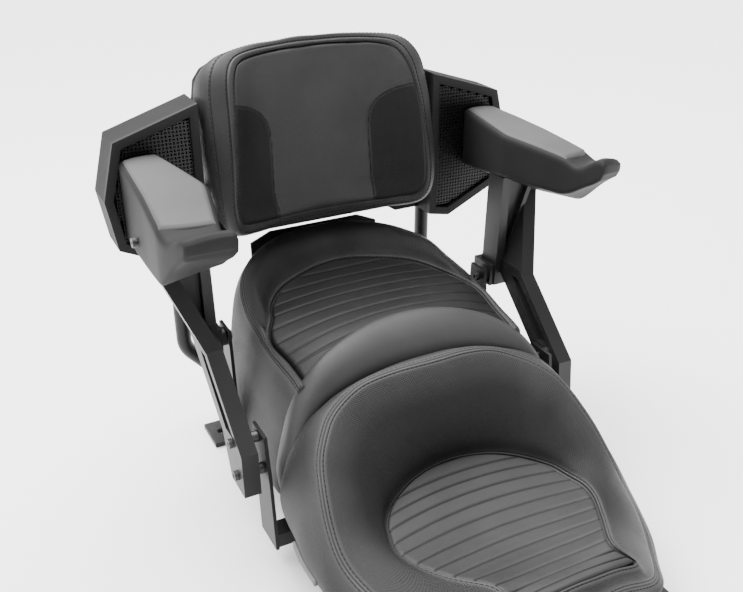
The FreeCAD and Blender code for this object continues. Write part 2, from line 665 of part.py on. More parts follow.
def make_hinge():
    centre = (HINGE_Y, HINGE_Z)
    plate_z = pan_z(HINGE_Y)
    under_z = plate_z - LEAF_THICK
    leaf = box(-LEAF_HALF, LEAF_HALF, HINGE_Y - LEAF_FRONT, HINGE_Y + LEAF_BACK, under_z, plate_z)
    ears = []
    for sign in (-1, 1):
        inner, outer = sorted(sign * x for x in KNUCKLE_X)
        knuckle = cylinder(KNUCKLE_R, (inner, *centre), (outer, *centre))
        web = box(inner, outer, HINGE_Y - KNUCKLE_WEB, HINGE_Y + KNUCKLE_WEB, HINGE_Z, under_z)
        leaf = leaf.fuse([knuckle, web])
        inner, outer = sorted(sign * x for x in EAR_X)
        ear = cylinder(KNUCKLE_R, (inner, *centre), (outer, *centre))
        post = box(inner, outer, HINGE_Y - KNUCKLE_R, HINGE_Y + KNUCKLE_R, RAIL_HIGH_Z, HINGE_Z)
        ears.append(ear.fuse(post))
    saddle_top = RAIL_HIGH_Z + TUBE_R + SADDLE_RISE
    saddle = box(
        -EAR_X[1], EAR_X[1], HINGE_Y - SADDLE_HALF, HINGE_Y + SADDLE_HALF, RAIL_HIGH_Z, saddle_top,
    )
    rear_tube = cylinder(TUBE_R, (-RAIL_X, HINGE_Y, RAIL_HIGH_Z), (RAIL_X, HINGE_Y, RAIL_HIGH_Z))
    pin = cylinder(HINGE_PIN_R, (-PIN_HALF, *centre), (PIN_HALF, *centre))
    pin_head = cylinder(PIN_HEAD_R, (PIN_HALF, *centre), (PIN_HALF + PIN_HEAD, *centre))
    running = cylinder(HINGE_PIN_R + HINGE_PLAY, (-PIN_HALF, *centre), (PIN_HALF, *centre))
    screws = []
    for x in (-LEAF_SCREW_X, LEAF_SCREW_X):
        for y in LEAF_SCREW_Y:
            at = V(x, HINGE_Y + y, under_z - LEAF_SCREW_HEAD)
            screws.append(Part.makeCylinder(LEAF_SCREW_R, LEAF_SCREW_HEAD, at))
    return {
        "hinge_leaf": leaf.removeSplitter().cut(running),
        "hinge_bracket": fuse(saddle, *ears).cut(rear_tube).cut(pin),
        "hinge_pin": fuse(pin, pin_head),
        "leaf_screws": group(screws),
    }


def lock_round(radius, x_from, x_to):
    """A cylinder about the key's axis."""
    return cylinder(radius, (x_from, LOCK_Y, LOCK_Z), (x_to, LOCK_Y, LOCK_Z))


def make_lock():
    """A key barrel whose crank pushes a tongue through the seat's striker."""
    tip_y = STRIKER_Y + STRIKER_ROD_R + TONGUE_TIP_GAP
    swing = CRANK_R * math.sin(math.radians(45))
    pin_y = LOCK_Y + swing
    pin_z = LOCK_Z + swing
    z0 = LOCK_Z + TONGUE_LOW
    z1 = z0 + TONGUE_THICK
    slot_half = CRANK_PIN_R + SLOT_PLAY
    tongue = box(-TONGUE_HALF, TONGUE_HALF, tip_y, pin_y + TONGUE_TAIL, z0, z1)
    slot = box(
        -TONGUE_HALF - 1, TONGUE_HALF + 1, pin_y - slot_half, pin_y + slot_half,
        z0 + SLOT_FLOOR, z1 - SLOT_ROOF,
    )
    disc = lock_round(DISC_R, DISC_X[0], DISC_X[1])
    crank_pin = cylinder(CRANK_PIN_R, (DISC_X[1], pin_y, pin_z), (CRANK_PIN_END_X, pin_y, pin_z))
    shaft = lock_round(BARREL_R, CAP_X[1], DISC_X[0])
    cap = lock_round(CAP_R, CAP_X[0], CAP_X[1])
    keyway = box(
        CAP_X[0] - 1, CAP_X[0] + KEYWAY_DEPTH, LOCK_Y - KEYWAY_HALF, LOCK_Y + KEYWAY_HALF,
        LOCK_Z - KEYWAY_REACH, LOCK_Z + KEYWAY_REACH,
    )
    case_front = tip_y + 1
    case = box(*CASE_X, case_front, LOCK_Y + CASE_BACK, CASE_LOW_Z, LOCK_Z + CASE_RISE)
    base = box(*CASE_X, STRIKER_Y - BASE_FRONT, case_front + 1, RAIL_LOW_Z, CASE_LOW_Z + BASE_LAP)
    channel_half = TONGUE_HALF + CHANNEL_PLAY
    channel = box(
        -channel_half, channel_half, tip_y - 1, LOCK_Y + 2 * CASE_BACK,
        z0 - CHANNEL_PLAY, z1 + CHANNEL_PLAY,
    )
    crank_room = lock_round(DISC_R + DISC_PLAY, DISC_X[0] - DISC_PLAY, -TONGUE_HALF)
    bearing = lock_round(BARREL_R + BARREL_PLAY, 2 * CASE_X[0], DISC_X[0])
    front_tube = cylinder(TUBE_R, (-RAIL_X, STRIKER_Y, RAIL_LOW_Z), (RAIL_X, STRIKER_Y, RAIL_LOW_Z))
    housing = fuse(case, base).cut(front_tube).cut(channel).cut(crank_room).cut(bearing)
    top = pan_z(STRIKER_Y) + 1
    hoop = bar(
        [
            (-STRIKER_HALF, STRIKER_Y, top), (-STRIKER_HALF, STRIKER_Y, STRIKER_LOW_Z),
            (STRIKER_HALF, STRIKER_Y, STRIKER_LOW_Z), (STRIKER_HALF, STRIKER_Y, top),
        ],
        STRIKER_BEND_R, STRIKER_ROD_R,
    )
    return {
        "lock_housing": biggest(housing),
        "lock_barrel": fuse(shaft, disc, crank_pin, cap).cut(keyway),
        "lock_tongue": tongue.cut(slot),
        "striker_loop": hoop,
    }


def main():
    nodes = make_subframe()
    strut = make_strut()
    paired = {"strut": strut}
    paired.update(make_armrest(strut))
    paired.update(make_pod())
    for name, shape in paired.items():
        for side, half in both_sides(shape).items():
            nodes[f"{name}_{side}"] = half
    nodes.update(make_strut_fixings(strut))
    nodes.update(make_backrest())
    nodes.update(make_seat())
    nodes.update(make_hinge())
    nodes.update(make_lock())
    nodes["striker_loop"] = biggest(nodes["striker_loop"].cut(nodes["seat_pan"]))
    os.makedirs("parts", exist_ok=True)
    for name, shape in nodes.items():
        bad = "" if shape.isValid() else "INVALID"
        print(f"{name:26s} solids {len(shape.Solids):2d} volume {shape.Volume / 1000:9.1f} cm3 {bad}")
        shape.exportStep(f"parts/{name}.step")
    print(len(nodes), "nodes")


main()
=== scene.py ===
import math

import bmesh
import bpy
import numpy as np
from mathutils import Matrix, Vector


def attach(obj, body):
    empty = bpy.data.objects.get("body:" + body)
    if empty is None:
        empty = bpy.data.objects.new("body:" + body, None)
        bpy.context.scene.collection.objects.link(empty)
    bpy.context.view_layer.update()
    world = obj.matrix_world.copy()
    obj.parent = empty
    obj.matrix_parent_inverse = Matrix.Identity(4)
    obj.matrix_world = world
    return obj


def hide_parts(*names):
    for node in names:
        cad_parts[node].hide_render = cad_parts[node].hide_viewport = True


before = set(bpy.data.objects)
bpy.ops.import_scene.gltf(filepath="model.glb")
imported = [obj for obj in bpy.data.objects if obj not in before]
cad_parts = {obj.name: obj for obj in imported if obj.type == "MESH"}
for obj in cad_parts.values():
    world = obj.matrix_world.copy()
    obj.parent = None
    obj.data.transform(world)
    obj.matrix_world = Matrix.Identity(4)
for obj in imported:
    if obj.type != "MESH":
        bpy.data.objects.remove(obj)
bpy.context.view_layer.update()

MM = 0.001
UP = np.array([0.0, 0.0, 1.0])
FLIP = np.array([-1.0, 1.0, 1.0])
random = np.random.default_rng(11)


# ---- camera, light and floor ---------------------------------------------
def make_stage():
    camera_data = bpy.data.cameras.new("camera")
    camera_data.lens = 43.6
    camera_data.sensor_width = 36.0
    camera_data.clip_end = 50.0
    camera = bpy.data.objects.new("camera", camera_data)
    camera.location = (-0.560, -0.955, 0.933)
    camera.rotation_euler = (math.radians(62.83), 0, math.radians(-27.32))
    bpy.context.scene.collection.objects.link(camera)
    bpy.context.scene.camera = camera

    world = bpy.data.worlds.new("studio")
    world.use_nodes = True
    background = world.node_tree.nodes["Background"]
    background.inputs["Color"].default_value = (1, 1, 1, 1)
    background.inputs["Strength"].default_value = 0.8
    bpy.context.scene.world = world

    for name, kind, place, size, power in (
        ("overhead", "SUN", (-0.5, 1.1, 3.0), math.radians(75), 11.5),
        ("key", "AREA", (-0.7, 1.3, 2.4), 1.0, 55),
        ("side", "AREA", (1.4, 1.2, 2.2), 0.9, 12),
    ):
        light_data = bpy.data.lights.new(name, kind)
        light_data.energy = power
        if kind == "SUN":
            light_data.angle = size
        else:
            light_data.size = size
        light = bpy.data.objects.new(name, light_data)
        light.location = place
        aim = np.array([0.0, 0.05, 0.35]) - np.array(place)
        light.rotation_euler = Vector(aim).to_track_quat("-Z", "Y").to_euler()
        bpy.context.scene.collection.objects.link(light)

    size = 14.0
    corners = [(-size, -size, -0.001), (size, -size, -0.001), (size, size, -0.001), (-size, size, -0.001)]
    floor = new_object("floor", np.array(corners), [(0, 1, 2, 3)], smooth=False)
    floor.data.materials.append(plain_material("floor_white", (0.93, 0.93, 0.93), 0.9))


# ---- meshes --------------------------------------------------------------
def new_object(name, points, faces, smooth=True):
    """A mesh object from points in metres and a list of faces."""
    mesh = bpy.data.meshes.new(name)
    mesh.from_pydata(np.asarray(points, float).tolist(), [], [list(map(int, f)) for f in faces])
    mesh.validate()
    if len(faces) > 1:
        work = bmesh.new()
        work.from_mesh(mesh)
        bmesh.ops.recalc_face_normals(work, faces=work.faces)
        work.to_mesh(mesh)
        work.free()
    mesh.polygons.foreach_set("use_smooth", [smooth] * len(mesh.polygons))
    obj = bpy.data.objects.new(name, mesh)
    bpy.context.scene.collection.objects.link(obj)
    return obj


def grid_faces(columns, rows, wrap_columns, wrap_rows, start=0):
    i = np.arange(columns if wrap_columns else columns - 1)
    j = np.arange(rows if wrap_rows else rows - 1)
    i, j = np.meshgrid(i, j, indexing="ij")
    i2 = (i + 1) % columns
    j2 = (j + 1) % rows
    quads = np.stack([i * rows + j, i2 * rows + j, i2 * rows + j2, i * rows + j2], axis=-1)
    return (quads.reshape(-1, 4) + start).tolist()


def set_attribute(obj, name, values, kind="FLOAT"):
    attribute = obj.data.attributes.new(name, kind, "POINT")
    key = "vector" if kind == "FLOAT_VECTOR" else "value"
    attribute.data.foreach_set(key, np.asarray(values, np.float32).ravel())


def cubic(knots, values, at):
    """A natural cubic spline through the values at the knots."""
    n = len(knots)
    step = np.diff(knots)
    flat = values.reshape(n, -1)
    matrix = np.eye(n)
    right = np.zeros_like(flat)
    for i in range(1, n - 1):
        matrix[i, i - 1:i + 2] = step[i - 1], 2 * (step[i - 1] + step[i]), step[i]
        right[i] = 6 * ((flat[i + 1] - flat[i]) / step[i] - (flat[i] - flat[i - 1]) / step[i - 1])
    bend = np.linalg.solve(matrix, right)
    i = np.clip(np.searchsorted(knots, at, "right") - 1, 0, n - 2)
    w = ((at - knots[i]) / step[i])[:, None]
    h = step[i][:, None]
    lower = (1 - w) * flat[i] + ((1 - w) ** 3 - (1 - w)) * bend[i] * h * h / 6
    upper = w * flat[i + 1] + (w ** 3 - w) * bend[i + 1] * h * h / 6
    return (lower + upper).reshape((len(at),) + values.shape[1:])


def through(points, count):
    """An open smooth curve through points, even along its length."""
    points = np.array(points, float)
    knots = np.concatenate([[0], np.cumsum(np.linalg.norm(np.diff(points, axis=0), axis=-1))])
    return cubic(knots, points, np.linspace(0, knots[-1], count))


def flow(rings, samples):
    """A centripetal spline through each row of control points."""
    gap = np.maximum(np.linalg.norm(np.diff(rings, axis=1), axis=-1) ** 0.5, 1e-3)[..., None]
    slope = np.diff(rings, axis=1) / gap
    tangent = np.empty_like(rings)
    before, after = gap[:, :-1], gap[:, 1:]
    tangent[:, 1:-1] = (slope[:, :-1] * after + slope[:, 1:] * before) / (before + after)
    tangent[:, 0] = slope[:, 0]
    tangent[:, -1] = slope[:, -1]
    at = np.linspace(0, rings.shape[1] - 1, samples * (rings.shape[1] - 1) + 1)
    i = np.minimum(at.astype(int), rings.shape[1] - 2)
    f = (at - i)[None, :, None]
    g = gap[:, i]
    return (
        (2 * f ** 3 - 3 * f ** 2 + 1) * rings[:, i] + (f ** 3 - 2 * f ** 2 + f) * g * tangent[:, i]
        + (3 * f ** 2 - 2 * f ** 3) * rings[:, i + 1] + (f ** 3 - f ** 2) * g * tangent[:, i + 1]
    )


def blurred(grid, sigma, closed):
    """Evens out each ring along its length."""
    reach = int(3 * sigma) + 1
    weights = np.exp(-0.5 * (np.arange(-reach, reach + 1) / sigma) ** 2)
    weights /= weights.sum()
    mode = "wrap" if closed else "edge"
    padding = [(reach, reach)] + [(0, 0)] * (grid.ndim - 1)
    wide = np.pad(grid, padding, mode=mode)
    out = sum(w * wide[k:k + len(grid)] for k, w in enumerate(weights))
    if not closed:
        out[:reach] = grid[:reach]
        out[-reach:] = grid[-reach:]
    return out


def around(stations, count, sigma=2.5, closed=True):
    """Rings through stations of the right half, mirrored to the left.

    A closed ring runs from the centre line at one end to the centre line at
    the other.  An open one is centred on the first station."""
    s = np.array(stations, float)
    n = len(s)
    flip = s * FLIP
    parts = [flip[3:0:-1], s]
    if closed:
        parts.append(flip[-2:-5:-1])
    wide = np.concatenate(parts)
    gap = np.linalg.norm(np.diff(wide, axis=0), axis=-1).mean(axis=-1)
    knots = np.concatenate([[0], np.cumsum(gap)])
    half = cubic(knots, wide, np.linspace(knots[3], knots[2 + n], count + 1))
    if closed:
        ring = np.concatenate([half, half[-2:0:-1] * FLIP])
    else:
        ring = np.concatenate([half[:0:-1] * FLIP, half])
    return blurred(ring, sigma, closed)


def sections(rings, fine, counts):
    """Samples each section finely around some of its control points.

    fine is a list of (ring number, half width in mm); counts has the samples
    before, inside and after each fine zone.  Returns the grid and, for each
    fine zone, its middle row."""
    dense = flow(rings, 24)
    arc = np.concatenate(
        [np.zeros((len(dense), 1)), np.cumsum(np.linalg.norm(np.diff(dense, axis=1), axis=-1), axis=1)],
        axis=1,
    )
    stops = [np.zeros(len(dense))]
    for ring, half in fine:
        at = arc[:, ring * 24]
        stops += [np.maximum(at - half, stops[-1] + 0.5), at + half]
    stops.append(arc[:, -1])
    places = []
    middles = []
    for k, count in enumerate(counts):
        if k % 2:
            middles.append(len(places) + count // 2)
        t = np.arange(count) / count
        places += [stops[k] + (stops[k + 1] - stops[k]) * x for x in t]
    places.append(stops[-1])
    at = np.stack(places, axis=1)
    grid = np.empty(at.shape + (3,))
    for c in range(len(dense)):
        for axis in range(3):
            grid[c, :, axis] = np.interp(at[c], arc[c], dense[c, :, axis])
    return grid, middles


def normals(grid, closed_columns, closed_rows):
    def change(axis, closed):
        if closed:
            return np.roll(grid, -1, axis) - np.roll(grid, 1, axis)
        return np.gradient(grid, axis=axis)
    n = np.cross(change(0, closed_columns), change(1, closed_rows))
    return n / np.maximum(np.linalg.norm(n, axis=-1, keepdims=True), 1e-9)


def row_arc(grid):
    """Distance along each section from its first row."""
    step = np.linalg.norm(np.diff(grid, axis=1), axis=-1)
    return np.concatenate([np.zeros((len(grid), 1)), np.cumsum(step, axis=1)], axis=1)


def column_arc(grid, zero):
    """Distance along each row from column zero, signed."""
    step = np.linalg.norm(np.diff(grid, axis=0), axis=-1)
    arc = np.concatenate([np.zeros((1, grid.shape[1])), np.cumsum(step, axis=0)], axis=0)
    return arc - arc[zero]


def signed_column_arc(grid):
    """The same for a closed ring that starts on the centre line."""
    half = len(grid) // 2
    arc = column_arc(grid[:half + 1], 0)
    return np.concatenate([arc, -arc[-2:0:-1]])


def groove(grid, normal, row, offset, depth, width):
    """Presses a line into the surface beside a row, in millimetres."""
    arc = row_arc(grid)
    d = arc - arc[:, row:row + 1] - offset
    return grid - normal * (depth * np.exp(-(d / width) ** 2))[..., None]


def undulation(points, wavelength, height):
    """A gentle, fixed unevenness of hand-pulled upholstery."""
    out = np.zeros(points.shape[:-1])
    for _ in range(10):
        direction = random.normal(size=3)
        direction /= np.linalg.norm(direction)
        length = wavelength * random.uniform(0.6, 1.6)
        out += np.sin(points @ direction * 2 * np.pi / length + random.uniform(0, 6.28))
    return out * height / 3.2


def point_on(grid, normal, row, offset, lift):
    """The line beside a row, on the surface, in millimetres."""
    arc = row_arc(grid)
    line = np.empty((len(grid), 3))
    for c in range(len(grid)):
        at = arc[c, row] + offset
        for axis in range(3):
            line[c, axis] = np.interp(at, arc[c], grid[c, :, axis] + lift * normal[c, :, axis])
    return line


def stitches(line, normal, closed, pitch=6.6, length=4.9, radius=0.62):
    """Thread dashes along a line: points and faces, in millimetres."""
    if closed:
        line = np.concatenate([line, line[:1]])
        normal = np.concatenate([normal, normal[:1]])
    arc = np.concatenate([[0], np.cumsum(np.linalg.norm(np.diff(line, axis=0), axis=-1))])
    count = int(arc[-1] / pitch)
    points = []
    faces = []
    sides = 6
    profile = [(-0.5, 0.0), (-0.42, 0.75), (0.0, 1.0), (0.42, 0.75), (0.5, 0.0)]
    for k in range(count):
        middle = (k + 0.5) * arc[-1] / count
        ends = [
            np.array([np.interp(middle + e * length, arc, line[:, a]) for a in range(3)])
            for e in (-0.5, 0.5)
        ]
        along = ends[1] - ends[0]
        centre = (ends[0] + ends[1]) / 2
        up = np.array([np.interp(middle, arc, normal[:, a]) for a in range(3)])
        side = np.cross(along, up)
        side /= max(np.linalg.norm(side), 1e-9)
        top = np.cross(side, along)
        top /= max(np.linalg.norm(top), 1e-9)
        first = len(points)
        for place, swell in profile:
            if swell == 0.0:
                points.append(centre + along * place - top * radius * 0.8)
                continue
            for s in range(sides):
                angle = 2 * math.pi * s / sides
                ring = side * math.cos(angle) + top * math.sin(angle)
                points.append(centre + along * place + ring * radius * swell)
        for s in range(sides):
            t = (s + 1) % sides
            faces.append((first, first + 1 + s, first + 1 + t))
            for ring in range(2):
                a = first + 1 + ring * sides
                faces.append((a + s, a + sides + s, a + sides + t, a + t))
            a = first + 1 + 2 * sides
            faces.append((a + t, a + s, a + sides))
    return points, faces


def stitched(name, lines, body, material):
    """One piece with the thread of several lines."""
    points = []
    faces = []
    for line, normal, closed in lines:
        more, more_faces = stitches(line, normal, closed)
        faces += [[i + len(points) for i in f] for f in more_faces]
        points += more
    obj = new_object(name, np.array(points) * MM, faces)
    obj.data.materials.append(material)
    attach(obj, body)
    return obj


def closed_tube(name, grid, closed_columns):
    """A mesh whose sections are closed, capped at its ends if it is open."""
    columns, rows = grid.shape[:2]
    faces = grid_faces(columns, rows, closed_columns, True)
    if not closed_columns:
        faces.append(list(range(rows)))
        faces.append(list(range((columns - 1) * rows, columns * rows))[::-1])
    return new_object(name, grid.reshape(-1, 3) * MM, faces)


def slab(name, top, thickness):
    """A closed pad under a grid of top points."""
    columns, rows = top.shape[:2]
    low = top.copy()
    centre = top.reshape(-1, 3).mean(axis=0)
    low = centre + (low - centre) * 0.97
    low = low - np.asarray(thickness)
    count = columns * rows
    faces = grid_faces(columns, rows, False, False)
    faces += [[i + count for i in f[::-1]] for f in grid_faces(columns, rows, False, False)]
    edge = [i * rows for i in range(columns)]
    edge += [(columns - 1) * rows + j for j in range(1, rows)]
    edge += [i * rows + rows - 1 for i in range(columns - 2, -1, -1)]
    edge += list(range(rows - 2, 0, -1))
    for a, b in zip(edge, edge[1:] + edge[:1]):
        faces.append([b, a, a + count, b + count])
    return new_object(name, np.concatenate([top.reshape(-1, 3), low.reshape(-1, 3)]) * MM, faces)


# ---- materials -----------------------------------------------------------
class Nodes:
    """Short names for wiring a material."""

    def __init__(self, name):
        self.material = bpy.data.materials.new(name)
        self.material.use_nodes = True
        self.tree = self.material.node_tree
        self.shader = self.tree.nodes["Principled BSDF"]

    def link(self, source, target):
        self.tree.links.new(source, target)

    def node(self, kind, **settings):
        made = self.tree.nodes.new(kind)
        for key, value in settings.items():
            setattr(made, key, value)
        return made

    def feed(self, socket, value):
        if isinstance(value, bpy.types.NodeSocket):
            self.link(value, socket)
        else:
            socket.default_value = value

    def math(self, operation, a, b=0.0, c=0.0, clamp=False):
        made = self.node("ShaderNodeMath", operation=operation, use_clamp=clamp)
        for socket, value in zip(made.inputs, (a, b, c)):
            self.feed(socket, value)
        return made.outputs[0]

    def place(self):
        return self.node("ShaderNodeTexCoord").outputs["Object"]

    def attribute(self, name, output="Fac"):
        return self.node("ShaderNodeAttribute", attribute_name=name).outputs[output]

    def noise(self, vector, scale, detail=3.0, roughness=0.5):
        made = self.node("ShaderNodeTexNoise")
        self.link(vector, made.inputs["Vector"])
        made.inputs["Scale"].default_value = scale
        made.inputs["Detail"].default_value = detail
        made.inputs["Roughness"].default_value = roughness
        return made.outputs["Fac"]

    def cells(self, vector, scale, feature="F1"):
        made = self.node("ShaderNodeTexVoronoi", feature=feature)
        self.link(vector, made.inputs["Vector"])
        made.inputs["Scale"].default_value = scale
        return made.outputs["Distance"]

    def span(self, value, low, high, to_low=0.0, to_high=1.0, smooth=True):
        made = self.node("ShaderNodeMapRange", interpolation_type="SMOOTHSTEP" if smooth else "LINEAR")
        self.feed(made.inputs["Value"], value)
        for key, number in (("From Min", low), ("From Max", high), ("To Min", to_low), ("To Max", to_high)):
            made.inputs[key].default_value = number
        return made.outputs["Result"]

    def mix(self, share, a, b):
        made = self.node("ShaderNodeMix", data_type="RGBA")
        self.feed(made.inputs[0], share)
        self.feed(made.inputs[6], a)
        self.feed(made.inputs[7], b)
        return made.outputs[2]

    def bump(self, height, distance, strength=1.0, normal=None):
        made = self.node("ShaderNodeBump")
        made.inputs["Distance"].default_value = distance
        made.inputs["Strength"].default_value = strength
        self.link(height, made.inputs["Height"])
        if normal is not None:
            self.link(normal, made.inputs["Normal"])
        return made.outputs["Normal"]


def grey(value, warm=0.0):
    return (value * (1 + warm), value, value * (1 - warm), 1)


def plain_material(name, colour, roughness):
    n = Nodes(name)
    n.shader.inputs["Base Color"].default_value = (*colour, 1)
    n.shader.inputs["Roughness"].default_value = roughness
    return n.material


def dots(n, pitch, radius):
    """Staggered round holes on the panel's own coordinates: 1 in a hole."""
    split = n.node("ShaderNodeSeparateXYZ")
    n.link(n.attribute("panel", "Vector"), split.inputs[0])
    row = n.math("DIVIDE", split.outputs["Y"], pitch * 0.5)
    whole = n.math("FLOOR", row)
    odd = n.math("MULTIPLY", n.math("PINGPONG", whole, 1.0), 0.5)
    column = n.math("ADD", n.math("DIVIDE", split.outputs["X"], pitch), odd)
    dx = n.math("MULTIPLY", n.math("SUBTRACT", n.math("FRACT", column), 0.5), pitch)
    dy = n.math("MULTIPLY", n.math("SUBTRACT", n.math("FRACT", row), 0.5), pitch * 0.5)
    far = n.math("SQRT", n.math("ADD", n.math("MULTIPLY", dx, dx), n.math("MULTIPLY", dy, dy)))
    return n.span(far, radius * 0.7, radius * 1.25, 1.0, 0.0)


# Specular levels, and the pitch and radius of the perforations in metres.
LEATHER_GLOSS = 0.20
HOLE_PITCH = 0.0034
HOLE_RADIUS = 0.00085
HARD_GLOSS = 0.25


def leather(name, tone, roughness, perforated=0.0, grain=0.5, mottle=0.12, nap=0.0, dimmed=0.6):
    """Coated hide: tone, grain, slow mottling, painted seam shade and highlight, and, where masked,
    perforation.

    The shade mask darkens the tone by up to dimmed; this is painted shade on bolster faces, skirts and
    perforated inserts.
    """
    n = Nodes(name)
    place = n.place()
    slow = n.noise(place, 9.0, 4.0, 0.6)
    fine = n.noise(place, 900.0, 2.0)
    creases = n.cells(place, 620.0, "DISTANCE_TO_EDGE")
    crease = n.span(creases, 0.0, 0.16)
    base = n.mix(n.span(slow, 0.3, 0.7), grey(tone * (1 - mottle)), grey(tone * (1 + mottle)))
    speck = n.math("MULTIPLY", n.span(fine, 0.35, 0.75), 0.5)
    base = n.mix(speck, base, grey(tone * 1.5))
    # Painted highlight: the edge mask lightens the ridges beside seams, welts and pleat grooves.
    painted_ridge_highlight = n.math("MULTIPLY", n.attribute("edge"), 0.5)
    base = n.mix(painted_ridge_highlight, base, grey(tone * 1.9))
    # Painted shade: the shade mask darkens bolster faces, skirts and perforated inserts.
    if perforated:
        base = n.mix(n.math("MULTIPLY", n.attribute("shade"), dimmed), base, grey(tone * 0.2))
    # Painted shade: the crease mask darkens seams, pleat grooves and tucked rims to a fraction of the tone.
    dark = n.math("SUBTRACT", 1.0, n.attribute("painted_crease_shade"), clamp=True)
    base = n.mix(dark, grey(tone * 0.15), base)
    patches = n.span(slow, 0.2, 0.8, roughness - 0.04, roughness + 0.06)
    shine = n.math("ADD", patches, n.math("MULTIPLY", fine, 0.06))
    height = n.math("ADD", n.math("MULTIPLY", crease, 0.6), n.math("MULTIPLY", fine, 0.5))
    normal = n.bump(height, 0.00035, grain)
    if nap:
        normal = n.bump(n.noise(place, 60.0, 5.0, 0.7), 0.0006, nap, normal)
    if perforated:
        hole = n.math("MULTIPLY", dots(n, HOLE_PITCH, HOLE_RADIUS), n.attribute("perf"))
        base = n.mix(n.math("MULTIPLY", hole, perforated), base, grey(tone * 0.12))
        sunk = n.math("SUBTRACT", 1.0, hole)
        normal = n.bump(sunk, 0.0006, 0.9, normal)
    n.link(base, n.shader.inputs["Base Color"])
    n.link(shine, n.shader.inputs["Roughness"])
    n.link(normal, n.shader.inputs["Normal"])
    n.shader.inputs["Specular IOR Level"].default_value = LEATHER_GLOSS
    return n.material


def moulded(name, tone, roughness, texture=0.4, scale=700.0, convex_edge_amount=0.3, gloss=HARD_GLOSS):
    """Moulded or painted hard part: fine grain, slow tone and edges lighter where convex."""
    n = Nodes(name)
    place = n.place()
    slow = n.noise(place, 7.0, 4.0, 0.6)
    fine = n.noise(place, scale, 2.0, 0.6)
    base = n.mix(n.span(slow, 0.3, 0.7), grey(tone * 0.9), grey(tone * 1.1))
    # Convex edges, found by pointiness, are made lighter.
    edge = n.node("ShaderNodeNewGeometry").outputs["Pointiness"]
    convex_edge_lightening = n.math("MULTIPLY", n.span(edge, 0.53, 0.62), convex_edge_amount)
    base = n.mix(convex_edge_lightening, base, grey(tone * 2.2))
    blend = n.math("ADD", n.math("MULTIPLY", slow, 0.6), n.math("MULTIPLY", fine, 0.4))
    shine = n.span(blend, 0.3, 0.7, roughness - 0.05, roughness + 0.06)
    n.link(base, n.shader.inputs["Base Color"])
    n.link(shine, n.shader.inputs["Roughness"])
    n.link(n.bump(fine, 0.0002, texture), n.shader.inputs["Normal"])
    n.shader.inputs["Specular IOR Level"].default_value = gloss
    return n.material


def metal(name, tone, roughness, scale=400.0):
    """Plated steel with fine drawing marks and dull patches."""
    n = Nodes(name)
    place = n.place()
    stretch = n.node("ShaderNodeMapping")
    n.link(place, stretch.inputs["Vector"])
    stretch.inputs["Scale"].default_value = (0.1, 1, 1)
    fine = n.noise(stretch.outputs[0], scale, 3.0)
    slow = n.noise(place, 30.0, 3.0)
    base = n.mix(n.span(slow, 0.3, 0.7), grey(tone * 0.8), grey(tone * 1.15, 0.02))
    n.link(base, n.shader.inputs["Base Color"])
    n.link(n.span(fine, 0.2, 0.8, roughness - 0.06, roughness + 0.1), n.shader.inputs["Roughness"])
    n.link(n.bump(fine, 0.0001, 0.3), n.shader.inputs["Normal"])
    n.shader.inputs["Metallic"].default_value = 1.0
    return n.material


# ---- rider's cushion -----------------------------------------------------
# Stations of the right half from the rear to the nose, millimetres: edge of
# the pleated panel, twin seam, line under the seam, widest line, lower edge,
# and how far the bolster's face swells out between edge and seam.
RIDER = [
    ((0, -106, 157), (0, -47, 287), (0, -23, 281), (0, -23, 200), (0, -23, 92), 14),
    ((28, -108, 156), (40, -44.5, 286), (36, -23, 280), (40, -23, 198), (40, -23, 92), 14),
    ((53, -113, 154), (78, -42, 282), (74, -24, 276), (80, -24, 195), (80, -23, 92), 14),
    ((75, -121, 152), (112, -43, 274), (112, -26, 268), (120, -25, 188), (120, -23, 92), 14),
    ((91, -130, 150), (140, -50, 261), (146, -30, 258), (158, -26, 180), (155, -24, 92), 14),
    ((103, -137, 147.5), (161, -63, 252), (178, -40, 245), (190, -27, 165), (185, -24, 92), 14),
    ((114, -145, 145), (180, -84, 241), (201, -50, 226), (221, -31, 140), (211, -32, 90), 15),
    ((124, -156, 143.5), (198, -111, 219), (216, -95, 188), (233, -92, 114), (213, -92, 74), 16),
    ((133, -170, 142.5), (207, -140, 197), (224, -132, 163), (238, -134, 105), (214, -135, 66), 15),
    ((141, -195, 141), (213.5, -178, 164), (230, -175, 136), (236.5, -178, 98), (210, -180, 66), 13),
    ((145, -220, 143.5), (211, -214, 139), (226, -216, 119), (230, -222, 92.5), (202, -228, 67), 12),
    ((139, -247, 147), (200, -252, 127), (212, -257, 111), (214, -263, 90), (190, -266, 69), 11),
    ((126, -273, 151), (185, -296, 119), (195, -303, 105), (197, -305, 91), (171, -306, 75), 10),
    ((106, -306, 158), (167, -332, 113), (175, -338, 101), (176, -341, 94), (156, -342, 83), 9),
    ((86, -336, 167), (151, -360, 111), (158, -364, 103), (159, -366, 99), (143, -367, 91), 8),
    ((83, -360, 166), (132, -380, 115), (137, -385, 109), (138, -388, 106), (120, -390, 98), 5),
    ((98, -376, 156), (108, -388, 124), (111, -394, 113), (112, -397, 109), (98, -397, 98), 3),
    ((68, -379, 162), (70, -392.5, 138), (71, -400, 120), (71, -402, 112), (62, -400, 98), 3),
    ((34, -382, 168), (35, -396.5, 144), (36, -403, 123), (36, -405, 112), (32, -402, 98), 3),
    ((0, -383, 170), (0, -398, 146), (0, -404, 124), (0, -406, 112), (0, -402, 98), 3),
]
RIDER_MIDDLE = np.array([0.0, -245.0, 140.0])
